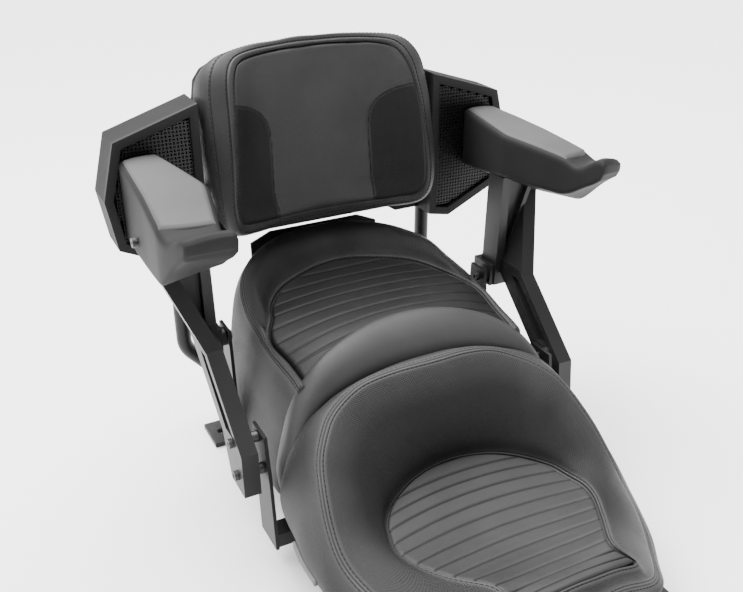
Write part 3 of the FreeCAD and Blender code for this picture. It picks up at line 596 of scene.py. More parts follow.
# Rows of the pleated panel at its grooves: y at the ends, y and z on the
# centre line.
RIDER_ROWS = [
    (-106, -106, 156.5), (-136, -127, 150), (-157, -143, 145), (-180, -162, 141), (-204, -183, 137),
    (-227, -206, 135), (-251, -230, 135), (-273, -255, 137), (-295, -280, 141), (-316, -305, 147),
    (-339, -330, 155), (-358, -352, 163), (-369, -368, 168), (-377, -383, 170),
]


def rim_point(edge, centre, inwards, drop):
    """A copy of an edge moved towards a centre line and down."""
    way = centre - edge
    way[:, 2] = 0
    way /= np.maximum(np.linalg.norm(way, axis=-1, keepdims=True), 1e-6)
    return edge + way * inwards - UP * drop


def swollen(a, b, share, swell, ups=UP):
    """A point between two rings, pushed out square to the line joining them."""
    chord = b - a
    chord = chord / np.maximum(np.linalg.norm(chord, axis=-1, keepdims=True), 1e-6)
    out = ups - chord * (chord @ UP)[:, None] if ups is UP else ups
    out = out / np.maximum(np.linalg.norm(out, axis=-1, keepdims=True), 1e-6)
    return a + (b - a) * share + out * swell


def leather_marks(obj, grid, panel_zero, perf, painted_crease_shade, edge):
    arc = row_arc(grid)
    across = panel_zero
    panel = np.stack([across, arc, np.zeros_like(arc)], axis=-1) * MM
    set_attribute(obj, "panel", panel, "FLOAT_VECTOR")
    set_attribute(obj, "perf", perf)
    # Painted shade in seams and grooves.
    set_attribute(obj, "painted_crease_shade", painted_crease_shade)
    # Painted highlight beside the seams, in the edge attribute.
    set_attribute(obj, "edge", edge)


def near(grid, row, offset, width):
    """1 on a line beside a row, fading over a width in millimetres."""
    arc = row_arc(grid)
    return np.exp(-((arc - arc[:, row:row + 1] - offset) / width) ** 2)


def make_rider_cushion(leathers):
    plain = np.array([row[:5] for row in RIDER], float)
    swell = np.array([[row[5]] * 3 for row in RIDER], float)[:, None, :]
    rings = around(np.concatenate([plain, swell], axis=1), 260)
    edge, seam, under, wide, low = (rings[:, k] for k in range(5))
    bulge = rings[:, 5, 1:2]
    faces = [swollen(edge, seam, s, 1.0) - (edge + (seam - edge) * s) for s in (0.14, 0.48, 0.8)]
    swells = [
        edge + (seam - edge) * s + f * bulge * k
        for s, f, k in zip((0.14, 0.48, 0.8), faces, (0.62, 1.0, 0.7))
    ]
    tucked = rim_point(edge, RIDER_MIDDLE, 9, 14)
    lip = rim_point(edge, RIDER_MIDDLE, 3.0, 5)
    base = rim_point(low, RIDER_MIDDLE, 14, 1)
    inner = rim_point(edge, RIDER_MIDDLE, 12, 0)
    inner[:, 2] = base[:, 2] + 4
    control = np.stack([tucked, lip, edge, *swells, seam, under, wide, low, base, inner], axis=1)
    grid, (edge_row, seam_row) = sections(control, [(2, 7), (6, 11)], [5, 15, 22, 30, 34])
    normal = normals(grid, True, False)
    if np.mean(normal[:, seam_row] @ UP) < 0:
        normal = -normal
    grid = grid + normal * undulation(grid, 90, 0.5)[..., None]
    for offset, depth, width in ((0, 1.3, 1.5), (-4.8, 0.8, 1.1), (4.8, 0.8, 1.1)):
        grid = groove(grid, normal, seam_row, offset, depth, width)
    grid = groove(grid, normal, seam_row, 0, -0.9, 6.0)
    for offset, depth, width in ((-1.0, 1.6, 1.2), (3.8, 1.0, 1.1)):
        grid = groove(grid, normal, edge_row, offset, depth, width)
    cover = closed_tube("rider_cushion_cover", grid, True)
    arc = row_arc(grid)
    seam_at = arc[:, seam_row:seam_row + 1]
    edge_at = arc[:, edge_row:edge_row + 1]
    perf = np.clip((arc - edge_at - 6) / 3, 0, 1) * np.clip((seam_at - 8 - arc) / 3, 0, 1)
    perf = np.maximum(perf, 0.55 * np.clip((arc - seam_at - 8) / 3, 0, 1))
    # Painted shade in the twin seam, the stitch lines and both sides of the welt.
    painted_crease_shade = near(grid, seam_row, 0, 0.9) * 0.8 + near(grid, edge_row, -1, 1.5)
    painted_crease_shade = np.clip(painted_crease_shade + near(grid, edge_row, 3.8, 0.8) * 0.7, 0, 1)
    painted_crease_shade = np.clip(painted_crease_shade + 0.45 * (near(grid, seam_row, -4.8, 0.7) + near(grid, seam_row, 4.8, 0.7)), 0, 1)
    # Painted highlight on the ridges beside the twin seam and the welt.
    painted_ridge_highlight = near(grid, seam_row, -2.4, 1.5) + near(grid, seam_row, 2.4, 1.5)
    painted_ridge_highlight = painted_ridge_highlight + 0.6 * near(grid, edge_row, 1.5, 1.2)
    leather_marks(cover, grid, signed_column_arc(grid), perf, painted_crease_shade, np.clip(painted_ridge_highlight, 0, 1))
    # Painted shade: the bolster face darkens towards the seam, and the skirt below is darkened too.
    shade = np.clip((arc - edge_at - 6) / 3, 0, 1) * np.clip((seam_at - 14 - arc) / 45, 0, 1)
    shade = np.maximum(shade, 0.75 * np.clip((arc - seam_at - 8) / 20, 0, 1))
    set_attribute(cover, "shade", shade.ravel())
    cover.data.materials.append(leathers["rider"])
    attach(cover, "seat")
    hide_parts("rider_cushion")
    lines = []
    for offset in (-4.8, 4.8):
        lines.append((point_on(grid, normal, seam_row, offset, 0.15), normal[:, seam_row], True))
    lines.append((point_on(grid, normal, edge_row, 3.8, 0.1), normal[:, edge_row + 2], True))
    stitched("rider_cushion_thread", lines, "seat", leathers["thread"])
    make_rider_panel(edge, leathers)


def pleat(phase, height, power=7.0):
    """A flat-topped pleat: phase 0 and 1 are the grooves beside it."""
    f = np.abs(2 * (phase % 1.0) - 1)
    return height * (1 - f ** power)


def make_rider_panel(edge, leathers):
    half = len(edge) // 2
    right = edge[:half + 1]
    order = np.argsort(-right[:, 1])
    edge_y = -right[order, 1]
    rows = np.array(RIDER_ROWS, float)
    grooves = len(rows) - 1
    per = 17
    t = np.linspace(0.03, grooves, grooves * per + 1)
    table = cubic(np.arange(len(rows)).astype(float), rows, t)
    end_y, mid_y, mid_z = table.T
    end_x = np.interp(-end_y, edge_y, right[order, 0])
    end_z = np.interp(-end_y, edge_y, right[order, 2])
    s = np.linspace(-1, 1, 151)
    s = s + 0.06 * np.sin(np.pi * s)
    bend = np.abs(s) ** 2.0
    x = end_x[:, None] * s
    y = mid_y[:, None] + (end_y - mid_y)[:, None] * bend
    z = mid_z[:, None] + (end_z - mid_z)[:, None] * np.abs(s) ** 2.3
    top = np.stack([x, y, z], axis=-1)
    finish_panel("rider_insert", top, t, end_x, s, leathers["rider_insert"], 2.3)


def finish_panel(name, top, t, end_x, s, leather_look, height):
    """Pleats a panel, tucks its rim under and makes it a closed pad."""
    normal = normals(top, False, False)
    if normal[..., 2].mean() < 0:
        normal = -normal
    rim = (1 - np.abs(s))[None, :] * end_x[:, None]
    span = np.linalg.norm(np.diff(top[:, len(s) // 2], axis=0), axis=-1)
    along = np.concatenate([[0], np.cumsum(span)])
    front = along[-1] - along
    rim = np.minimum(rim, front[:, None] + 0 * rim)
    fade = np.clip(rim / 9, 0, 1) ** 0.5
    phase = t % 1.0
    rise = pleat(t, height)[:, None] * (0.35 + 0.65 * fade)
    rise = rise * (1 + 0.05 * np.sin(top[..., 0] * 0.05 + t[:, None] * 2.1))
    rise = rise + undulation(top, 60, 0.14)
    tuck = 4.5 * np.exp(-(rim / 3.2) ** 2)
    made = top + normal * (rise - 1.8 - tuck)[..., None]
    obj = slab(name, made, (0, 0, 13))
    count = made.shape[0] * made.shape[1]
    crease = np.minimum(phase, 1 - phase)[:, None] * np.ones_like(rim)
    # Painted shade in the pleat grooves and along the tucked rim.
    painted_crease_shade = np.clip(np.exp(-(crease / 0.055) ** 2) + np.exp(-(rim / 1.6) ** 2), 0, 1)
    # Painted highlight on the pleat edges beside each groove.
    painted_ridge_highlight = np.exp(-((crease - 0.10) / 0.05) ** 2) * 0.5
    none = np.zeros(count)
    panel = np.stack([top[..., 0], top[..., 1], np.zeros_like(rim)], axis=-1).reshape(-1, 3) * MM
    set_attribute(obj, "panel", np.concatenate([panel, panel]), "FLOAT_VECTOR")
    set_attribute(obj, "painted_crease_shade", np.concatenate([painted_crease_shade.ravel(), none]))
    set_attribute(obj, "edge", np.concatenate([painted_ridge_highlight.ravel(), none]))
    obj.data.materials.append(leather_look)
    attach(obj, "seat")
    return obj


# ---- centre bolster ------------------------------------------------------
# Stations over the arch, from the centre line to the right lower edge: front
# valley, rear seam, and how far the band swells out.
BAND = [
    ((0, -22, 279), (0, 42, 320), 12), ((36, -22, 278), (34, 40.5, 319), 12),
    ((74, -23, 274), (68, 35, 315), 12), ((112, -25, 266), (100, 29, 307), 12),
    ((146, -29, 256), (132, 21, 295), 11), ((172, -37, 243), (156, 13, 281), 10),
    ((191, -44, 230), (173, 7, 266), 9), ((204, -48, 210), (188, 5, 240), 8),
    ((213, -45, 180), (200, 7, 195), 7), ((219, -38, 140), (210, 9, 140), 5),
    ((211, -36, 98), (205, 9, 102), 3),
]


def make_centre_band(leathers):
    plain = np.array([row[:2] for row in BAND], float)
    swell = np.array([[row[2]] * 3 for row in BAND], float)[:, None, :]
    rings = around(np.concatenate([plain, swell], axis=1), 170, closed=False)
    valley, seam = rings[:, 0], rings[:, 1]
    bulge = rings[:, 2, 1:2]
    chord = seam - valley
    along = np.gradient(valley + seam, axis=0)
    out = np.cross(along, chord)
    out /= np.linalg.norm(out, axis=-1, keepdims=True)
    if out[len(out) // 2] @ UP < 0:
        out = -out
    control = [valley - out * 30, valley - out * 7]
    for share, k in ((0.0, -0.12), (0.12, 0.5), (0.42, 1.0), (0.75, 0.92), (0.94, 0.48), (1.0, 0.05)):
        control.append(valley + chord * share + out * bulge * k)
    control += [seam - out * 6, seam - out * 30]
    grid, _ = sections(np.stack(control, axis=1), [(4, 2)], [30, 3, 60])
    normal = normals(grid, False, False)
    if normal[len(grid) // 2, 40] @ UP < 0:
        normal = -normal
    grid = grid + normal * undulation(grid, 90, 0.2)[..., None]
    band = closed_tube("centre_bolster_cover", grid, False)
    flat = np.zeros(grid.shape[:2])
    leather_marks(band, grid, column_arc(grid, len(grid) // 2), flat, flat, flat)
    band.data.materials.append(leathers["band"])
    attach(band, "seat")
    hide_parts("centre_bolster")


# ---- passenger's cushion -------------------------------------------------
# Stations of the right half from the rear to the side's front end: edge of
# the pleated panel, ridge, outer seam, two lines down the skirt, lower edge.
PASSENGER = [
    ((0, 253, 316), (0, 300, 352), (0, 324, 353), (0, 332, 335), (0, 334, 250), (0, 328, 156), 4),
    ((38, 250, 314), (45, 302, 350), (48, 322, 351), (55, 329, 334), (58, 331, 250), (55, 326, 155), 4),
    ((82, 231, 312), (90, 284, 345), (98, 306, 345), (106, 314, 330), (112, 317, 250), (110, 312, 153), 4),
    ((117, 211, 308), (130, 250, 338), (143, 272, 334), (153, 280, 318), (163, 286, 245), (165, 280, 152), 4),
    ((138, 189, 303), (155, 221, 330), (168, 238, 322), (177, 243, 305), (188, 248, 240), (192, 246, 151), 4),
    ((149, 170, 300), (163, 203, 323), (178, 205, 309), (185, 205, 294), (195, 210, 232), (203, 212, 149), 4),
    ((155, 152, 300), (170, 175, 312), (184, 165, 300), (189, 165, 286), (199, 168, 220), (208, 168, 138), 3),
    ((163, 134, 298), (175, 145, 303), (185, 135, 296), (190, 135, 282), (201, 136, 214), (211, 135, 130), 1),
    (
        (175, 111, 292), (180.5, 112, 294), (185.5, 112, 292),
        (190, 112, 279), (203, 110, 208), (213, 108, 123), 0,
    ),
    ((174, 60, 283), (179, 60, 285), (184, 60, 283), (188, 60, 270), (204, 60, 198), (215, 60, 113), 0),
    ((170, 12, 276), (175, 12, 278), (180, 12, 276.5), (184, 12, 262), (204, 10, 186), (216, 10, 104), 0),
    ((169, -8, 272), (174, -8, 274), (179, -8, 272), (183, -8, 257), (203, -10, 180), (214, -10, 104), 0),
]
PASSENGER_MIDDLE = np.array([0.0, 120.0, 250.0])
# y at the ends, y and z on the centre line
PASSENGER_ROWS = [
    (253, 253, 315), (231, 233, 311), (202, 205, 310), (175, 178, 310), (148, 151, 310.5), (119, 122, 311.5),
    (89, 92, 313.5), (60, 63, 316), (34, 37, 314), (8, 11, 302), (-8, -5, 288),
]


def make_passenger_cushion(leathers):
    plain = np.array([row[:6] for row in PASSENGER], float)
    swell = np.array([[row[6]] * 3 for row in PASSENGER], float)[:, None, :]
    rings = around(np.concatenate([plain, swell], axis=1), 210, closed=False)
    edge, ridge, seam, shoulder, skirt, low = (rings[:, k] for k in range(6))
    bulge = rings[:, 6, 1:2]
    tucked = rim_point(edge, PASSENGER_MIDDLE, 8, 14)
    lip = rim_point(edge, PASSENGER_MIDDLE, 2.5, 5)
    chord = ridge - edge
    unit = chord / np.linalg.norm(chord, axis=-1, keepdims=True)
    out = UP - unit * unit[:, 2:]
    out /= np.linalg.norm(out, axis=-1, keepdims=True)
    control = [tucked, lip, edge]
    control += [edge + chord * s + out * bulge * k for s, k in ((0.2, 0.2), (0.55, 1.0))]
    base = rim_point(low, PASSENGER_MIDDLE, 10, 1)
    inner = rim_point(edge, PASSENGER_MIDDLE, 4, 0)
    inner[:, 2] = base[:, 2] + 4
    control += [ridge, seam, shoulder, skirt, low, base, inner]
    grid, (edge_row, seam_row) = sections(
        np.stack(control, axis=1), [(2, 4.5), (6, 9)], [4, 11, 20, 24, 34],
    )
    normal = normals(grid, False, False)
    if np.mean(normal[:, seam_row] @ UP) < 0:
        normal = -normal
    grid = grid + normal * undulation(grid, 80, 0.5)[..., None]
    for offset, depth, width in ((0, 1.2, 1.4), (-4.2, 0.7, 1.0), (4.2, 0.7, 1.0)):
        grid = groove(grid, normal, seam_row, offset, depth, width)
    grid = groove(grid, normal, seam_row, 0, -0.7, 5.5)
    grid = groove(grid, normal, edge_row, -0.5, 1.4, 1.2)
    cover = closed_tube("passenger_cushion_cover", grid, False)
    arc = row_arc(grid)
    edge_at = arc[:, edge_row:edge_row + 1]
    seam_at = arc[:, seam_row:seam_row + 1]
    perf = np.clip((arc - edge_at - 4) / 3, 0, 1) * np.clip((seam_at - 7 - arc) / 3, 0, 1)
    perf = np.maximum(perf, 0.5 * np.clip((arc - seam_at - 8) / 3, 0, 1))
    # Painted shade in the outer seam and at the welt.
    painted_crease_shade = np.clip(near(grid, seam_row, 0, 0.9) + near(grid, edge_row, -0.5, 1.4), 0, 1)
    # Painted highlight on the ridges beside the outer seam.
    painted_ridge_highlight = np.clip(near(grid, seam_row, -2.2, 1.4) + near(grid, seam_row, 2.2, 1.4), 0, 1)
    leather_marks(cover, grid, column_arc(grid, len(grid) // 2), perf, painted_crease_shade, painted_ridge_highlight)
    # Painted shade: the bolster face darkens towards the seam, and the skirt below is darkened too.
    shade = np.clip((arc - edge_at - 4) / 3, 0, 1) * np.clip((seam_at - 12 - arc) / 25, 0, 1)
    shade = np.maximum(shade, 1.2 * np.clip((arc - seam_at - 8) / 20, 0, 1))
    set_attribute(cover, "shade", shade.ravel())
    cover.data.materials.append(leathers["passenger"])
    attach(cover, "seat")
    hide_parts("passenger_cushion")
    lines = [(point_on(grid, normal, seam_row, o, 0.15), normal[:, seam_row], False) for o in (-4.2, 4.2)]
    keep = slice(len(grid) // 2 - 150, len(grid) // 2 + 151)
    lines.append((point_on(grid, normal, edge_row, 2.6, 0.1)[keep], normal[keep, edge_row + 2], False))
    stitched("passenger_cushion_thread", lines, "seat", leathers["thread"])
    make_passenger_panel(edge, leathers)


def make_passenger_panel(edge, leathers):
    right = edge[len(edge) // 2:]
    order = np.argsort(-right[:, 1])
    edge_y = -right[order, 1]
    rows = np.array(PASSENGER_ROWS, float)
    grooves = len(rows) - 1
    t = np.linspace(0.03, grooves, grooves * 18 + 1)
    end_y, mid_y, mid_z = cubic(np.arange(len(rows)).astype(float), rows, t).T
    end_x = np.interp(-end_y, edge_y, right[order, 0])
    end_z = np.interp(-end_y, edge_y, right[order, 2])
    s = np.linspace(-1, 1, 151)
    s = s + 0.06 * np.sin(np.pi * s)
    x = end_x[:, None] * s
    y = mid_y[:, None] + (end_y - mid_y)[:, None] * np.abs(s) ** 2
    z = mid_z[:, None] + (end_z - mid_z)[:, None] * np.abs(s) ** 2.2
    top = np.stack([x, y, z], axis=-1)
    look = leathers["passenger_insert"]
    finish_panel("passenger_insert", top, t, end_x, s, look, 2.2)


# ---- backrest ------------------------------------------------------------
# Stations of the right half from the bottom centre to the top centre: inner
# stitch line, outer seam, the side's widest line and the edge at the back.
BACKREST = [
    ((0, 290, 394), (0, 291, 386), (0, 301, 378), (0, 330, 375)),
    ((45, 288, 394), (45, 289, 386), (46, 300, 378), (46, 330, 375)),
    ((90, 280, 395), (92, 280, 387), (94, 293, 379), (92, 330, 377)),
    ((126, 268, 398), (130, 266, 389), (137, 283, 381), (134, 330, 379)),
    ((151, 254, 405), (157, 251, 397), (170, 271, 390), (164, 331, 387)),
    ((160, 247, 424), (167, 245, 421), (183, 269, 418), (179, 332, 415)),
    ((161, 247, 462), (168, 246, 463), (188, 275, 464), (185, 334, 462)),
    ((156.5, 251, 520), (164, 254, 521), (189, 290, 523), (188, 337, 525)),
    ((153, 257, 555), (161.5, 262, 556), (189, 299, 560), (188, 340, 562)),
    ((149, 267, 586), (158, 274, 588), (187, 308, 594), (186, 342, 597)),
    ((142, 285, 619), (152, 289, 623), (178, 318, 625), (176, 342, 622)),
    ((130, 300, 637), (139, 304, 643), (160, 326, 643), (158, 343, 634)),
    ((106, 309, 645), (112, 313, 651), (126, 329, 652), (126, 345, 642)),
    ((56, 313.5, 649.5), (58, 318, 656), (64, 331, 657), (64, 346, 647)),
    ((0, 315, 651), (0, 319.5, 657), (0, 332, 658.5), (0, 347, 648)),
]
# x and z along the seam that bounds a side insert of the panel.
SIDE_SEAM = [
    (83, 384), (84, 405), (85, 440), (84.5, 480), (84, 520),
    (87, 541), (98, 559), (118, 573), (151, 586),
]
# z and y of the panel on the centre line, and of the shallow valley beside it.
BACK_CENTRE = [(380, 288), (400, 289), (450, 291), (520, 296), (586, 303), (622, 309), (655, 316)]
BACK_VALLEY = [
    (380, 292), (400, 293.5), (450, 297), (500, 301), (540, 303), (586, 303), (622, 308), (655, 315),
]


def make_backrest(leathers):
    rings = around(np.array(BACKREST, float), 190, sigma=3)
    inner, seam, side, back = (rings[:, k] for k in range(4))
    middle = np.array([0.0, 300.0, 530.0])

    def towards_middle(edge, inwards, deeper):
        way = (middle - edge) * np.array([1.0, 0.0, 1.0])
        way /= np.linalg.norm(way, axis=-1, keepdims=True)
        return edge + way * inwards + np.array([0.0, deeper, 0.0])

    control = [
        towards_middle(inner, 8, 16), towards_middle(inner, 2.5, 4.5), inner, seam,
        seam * 0.45 + side * 0.55 - towards_middle(side, 5, 2) + side, side,
        side * 0.45 + back * 0.55 - towards_middle(side, 2, 0) + side, back,
        towards_middle(back, 10, 2), towards_middle(inner, 12, 44),
    ]
    grid, (inner_row, seam_row, piping_row) = sections(
        np.stack(control, axis=1), [(2, 3.2), (3, 3.4), (4, 6)], [4, 8, 2, 9, 4, 13, 30],
    )
    normal = normals(grid, True, False)
    if normal[len(grid) // 4, seam_row, 0] < 0:
        normal = -normal
    grid = grid + normal * undulation(grid, 80, 0.5)[..., None]
    shown = np.clip((grid[..., 2] - 404) / 14, 0, 1)[..., None]
    creased = grid
    for row, offset, depth, width in (
        (inner_row, -0.4, 1.3, 1.2), (seam_row, 0, 0.9, 1.1),
        (piping_row, 0, 1.0, 1.2), (seam_row, -4, -0.6, 3.0),
    ):
        creased = groove(creased, normal, row, offset, depth, width)
    grid = grid + (creased - grid) * shown
    cover = closed_tube("backrest_cover", grid, True)
    none = np.zeros(grid.shape[:2])
    # Painted shade in the inner stitch line, the outer seam and the piping.
    painted_crease_shade = near(grid, inner_row, -0.4, 1.1) + near(grid, seam_row, 0, 0.8)
    painted_crease_shade = np.clip(painted_crease_shade + near(grid, piping_row, 0, 0.8), 0, 1)
    painted_crease_shade = painted_crease_shade * shown[..., 0]
    # Painted highlight on the ridges beside the outer seam and the piping.
    painted_ridge_highlight = np.clip(near(grid, seam_row, -2, 1.6) + near(grid, piping_row, 2.5, 1.6), 0, 1) * shown[..., 0]
    leather_marks(cover, grid, signed_column_arc(grid), none, painted_crease_shade, painted_ridge_highlight)
    cover.data.materials.append(leathers["back"])
    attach(cover, "root")
    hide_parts("backrest_cushion")

    top, side_seam = back_panel_surface(inner)
    make_back_panel(top, side_seam, leathers)
    lines = [
        (point_on(grid, normal, inner_row, 2.4, 0.15), normal[:, inner_row + 2], True),
        (point_on(grid, normal, seam_row, 1.8, 0.15), normal[:, seam_row + 1], True),
        (point_on(grid, normal, piping_row, 2.6, 0.15), normal[:, piping_row + 2], True),
    ]
    keep = bottom_left_out(grid, inner_row)
    open_lines = []
    for line, up, _ in lines:
        half = len(line) // 2
        open_lines.append((np.roll(line, half, axis=0)[keep], np.roll(up, half, axis=0)[keep], False))
    for side_line, up in side_seam:
        open_lines.append((side_line, up, False))
    stitched("backrest_thread", open_lines, "root", leathers["thread"])


def bottom_left_out(grid, row):
    """Columns of a closed ring, started at the top, that aren't under the pad."""
    ring = np.roll(grid[:, row], len(grid) // 2, axis=0)
    high = ring[:, 2] > 408
    wanted = np.nonzero(high)[0]
    return np.arange(wanted[0], wanted[-1] + 1) if high[0] else wanted


def back_panel_surface(inner):
    """A grid over the front of the backrest inside the inner stitch line."""
    half = len(inner) // 2
    right = inner[:half + 1]
    arc = np.concatenate([[0], np.cumsum(np.linalg.norm(np.diff(right, axis=0), axis=-1))])

    def at(values):
        return np.stack([np.interp(values, arc, right[:, a]) for a in range(3)], axis=-1)

    low = arc[np.argmin(np.linalg.norm(right - np.array([152, 253, 406]), axis=-1))]
    high = arc[np.argmin(np.linalg.norm(right - np.array([133, 298, 635]), axis=-1))]
    rows = 150
    columns = 131
    t = np.linspace(0, 1, rows)
    side = at(low + (high - low) * t)
    s = np.linspace(-1, 1, columns)
    bottom = at(low * np.abs(s))
    upper = at(arc[-1] - (arc[-1] - high) * np.abs(s))
    bottom[:, 0] *= np.sign(s)
    upper[:, 0] *= np.sign(s)
    left = side * FLIP
    u = ((s + 1) / 2)[None, :, None]
    v = t[:, None, None]
    corners = (
        (1 - u) * (1 - v) * bottom[0] + u * (1 - v) * bottom[-1]
        + (1 - u) * v * upper[0] + u * v * upper[-1]
    )
    coons = (1 - v) * bottom[None] + v * upper[None] + (1 - u) * left[:, None] + u * side[:, None] - corners
    z = coons[..., 2]
    x = np.abs(coons[..., 0])
    centre = np.interp(z, *np.array(BACK_CENTRE, float).T)
    valley = np.interp(z, *np.array(BACK_VALLEY, float).T)
    edge_x = side[:, None, 0] + 0 * x
    edge_y = side[:, None, 1] + 0 * x
    valley_x = 86.0
    near_share = np.clip(x / valley_x, 0, 1)
    far_share = np.clip((x - valley_x) / np.maximum(edge_x - valley_x, 1), 0, 1)
    target = centre + (valley - centre) * (1 - np.cos(np.pi * near_share)) / 2
    target = target + (edge_y - valley) * far_share ** 1.7
    window = np.clip(np.minimum(t, 1 - t) / 0.16, 0, 1)[:, None]
    window = window * window * (3 - 2 * window)
    made = coons.copy()
    made[..., 1] += (target - coons[..., 1]) * window
    made = blurred(made, 2.0, False)
    seam = through(np.array(SIDE_SEAM, float), 120)
    lines = []
    for sign in (1, -1):
        lines.append(on_panel(made, seam * np.array([sign, 1.0])))
    return made, lines


def on_panel(top, flat):
    """The x, z line laid on the panel, with the panel's normal there."""
    normal = normals(top, False, False)
    if normal[..., 1].mean() > 0:
        normal = -normal
    points = top.reshape(-1, 3)
    ups = normal.reshape(-1, 3)
    line = []
    up = []
    for x, z in flat:
        d = np.hypot(points[:, 0] - x, points[:, 2] - z)
        best = np.argsort(d)[:6]
        w = 1 / (d[best] + 0.05)
        w /= w.sum()
        line.append([x, w @ points[best, 1], z])
        up.append(w @ ups[best])
    line = blurred(np.array(line), 3.0, False)
    return line, np.array(up)


def make_back_panel(top, side_seam, leathers):
    normal = normals(top, False, False)
    if normal[..., 1].mean() > 0:
        normal = -normal
    flat = top[..., [0, 2]]
    seam = np.concatenate([line[:, [0, 2]] for line, _ in side_seam])
    distance = np.full(top.shape[:2], 1e9)
    for point in seam:
        distance = np.minimum(distance, np.hypot(flat[..., 0] - point[0], flat[..., 1] - point[1]))
    seam_z, seam_x = np.array(SIDE_SEAM, float)[:, 1], np.array(SIDE_SEAM, float)[:, 0]
    inside = (flat[..., 1] < 586) & (np.abs(flat[..., 0]) > np.interp(flat[..., 1], seam_z, seam_x))
    rows, columns = top.shape[:2]
    j = np.minimum(np.arange(columns), np.arange(columns)[::-1])[None, :] * 2.3
    from_bottom = np.arange(rows)[:, None] * 1.5 + 0 * j
    rim = np.minimum(from_bottom[::-1], j)
    sunk = np.minimum(-4.0 * np.exp(-(rim / 2.6) ** 2), -1.6 * np.exp(-(from_bottom / 6.0) ** 2))
    lift = 1.2 * np.clip(distance / 7, 0, 1) ** 0.6 - 0.6 - 1.6 * np.exp(-(distance / 1.5) ** 2)
    lift = lift + undulation(top, 70, 0.7) + sunk
    made = top + normal * lift[..., None]
    obj = slab("backrest_panel", made, (0, -13, 0))
    none = np.zeros(rows * columns)
    panel = np.stack([flat[..., 0], flat[..., 1], 0 * flat[..., 0]], axis=-1).reshape(-1, 3) * MM
    set_attribute(obj, "panel", np.concatenate([panel, panel]), "FLOAT_VECTOR")
    soft = np.clip((distance - 1.5) / 2, 0, 1) * inside
    set_attribute(obj, "perf", np.concatenate([soft.ravel(), none]))
    # Painted shade in the side seams and along the tucked rim.
    painted_crease_shade = np.clip(np.exp(-(distance / 1.0) ** 2) + np.exp(-(rim / 1.4) ** 2), 0, 1)
    set_attribute(obj, "painted_crease_shade", np.concatenate([painted_crease_shade.ravel(), none]))
    # Painted highlight on the ridges beside the side seams.
    painted_ridge_highlight = np.exp(-((distance - 2.6) / 1.3) ** 2) * 0.6
    set_attribute(obj, "edge", np.concatenate([painted_ridge_highlight.ravel(), none]))
    # Painted shade: the perforated side inserts are darkened by the shade mask.
    set_attribute(obj, "shade", np.concatenate([soft.ravel(), none]))
    obj.data.materials.append(leathers["back_panel"])
    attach(obj, "root")


# ---- armrests ------------------------------------------------------------
# Slices of the right armrest from its rear end to the tip of its lip: inner
# top, outer top, outer bottom and inner bottom corner, millimetres.
ARM_SLICES = [
    ((259, 291.5, 524), (320, 291.5, 521), (320, 291.5, 399), (259, 291.5, 430)),
    ((246.5, 217, 524), (323.5, 225, 520), (323.5, 225, 404), (246.5, 217, 442)),
    ((234, 143, 523), (327, 150, 517), (327, 150, 412), (234, 143, 457)),
    ((247.5, 80, 520), (330, 102, 512), (330, 102, 420), (247.5, 80, 459)),
    ((260, 24, 516), (332, 60, 507), (332, 60, 427), (260, 24, 461)),
    ((262, 4, 509), (331, 38, 500), (330, 38, 446), (262, 4, 470)),
    ((263, -14, 515), (328, 16, 504), (327, 15, 468), (263, -14, 482)),
    ((263, -32, 530), (325, -3, 515), (325, -4, 483), (263, -33, 492)),
    ((263, -48, 535), (322, -20, 519), (322, -21, 494), (263, -49, 504)),
    ((264, -54, 531), (321, -26, 516), (321, -26, 502), (264, -54, 514)),
]


def dense_rows(slices, spacing, sigma):
    """Straight runs between slices, sampled evenly and evened out."""
    s = np.array(slices, float)
    rows = []
    for a, b in zip(s, s[1:]):
        count = max(2, int(np.linalg.norm(b - a, axis=-1).mean() / spacing))
        rows += [a + (b - a) * k / count for k in range(count)]
    rows.append(s[-1])
    return blurred(np.array(rows), sigma, False)


def rounded_section(corners, radii, crown, samples=7, span=9):
    """A closed ring with rounded corners; the first side is crowned."""
    ring = []
    count = len(corners)
    for k in range(count):
        p = corners[k]
        before = corners[k - 1] - p
        after = corners[(k + 1) % count] - p
        r = min(radii[k], 0.45 * np.linalg.norm(before), 0.45 * np.linalg.norm(after))
        a = p + before / np.linalg.norm(before) * r
        b = p + after / np.linalg.norm(after) * r
        for t in np.linspace(0, 1, samples):
            ring.append(a * (1 - t) ** 2 + p * 2 * t * (1 - t) + b * t ** 2)
        following = corners[(k + 1) % count]
        r2 = min(radii[(k + 1) % count], 0.45 * np.linalg.norm(after))
        c = following - after / np.linalg.norm(after) * r2
        for t in np.linspace(0, 1, span + 2)[1:-1]:
            ring.append(b + (c - b) * t + UP * (crown * 4 * t * (1 - t) if k == 0 else 0.0))
    return np.array(ring)


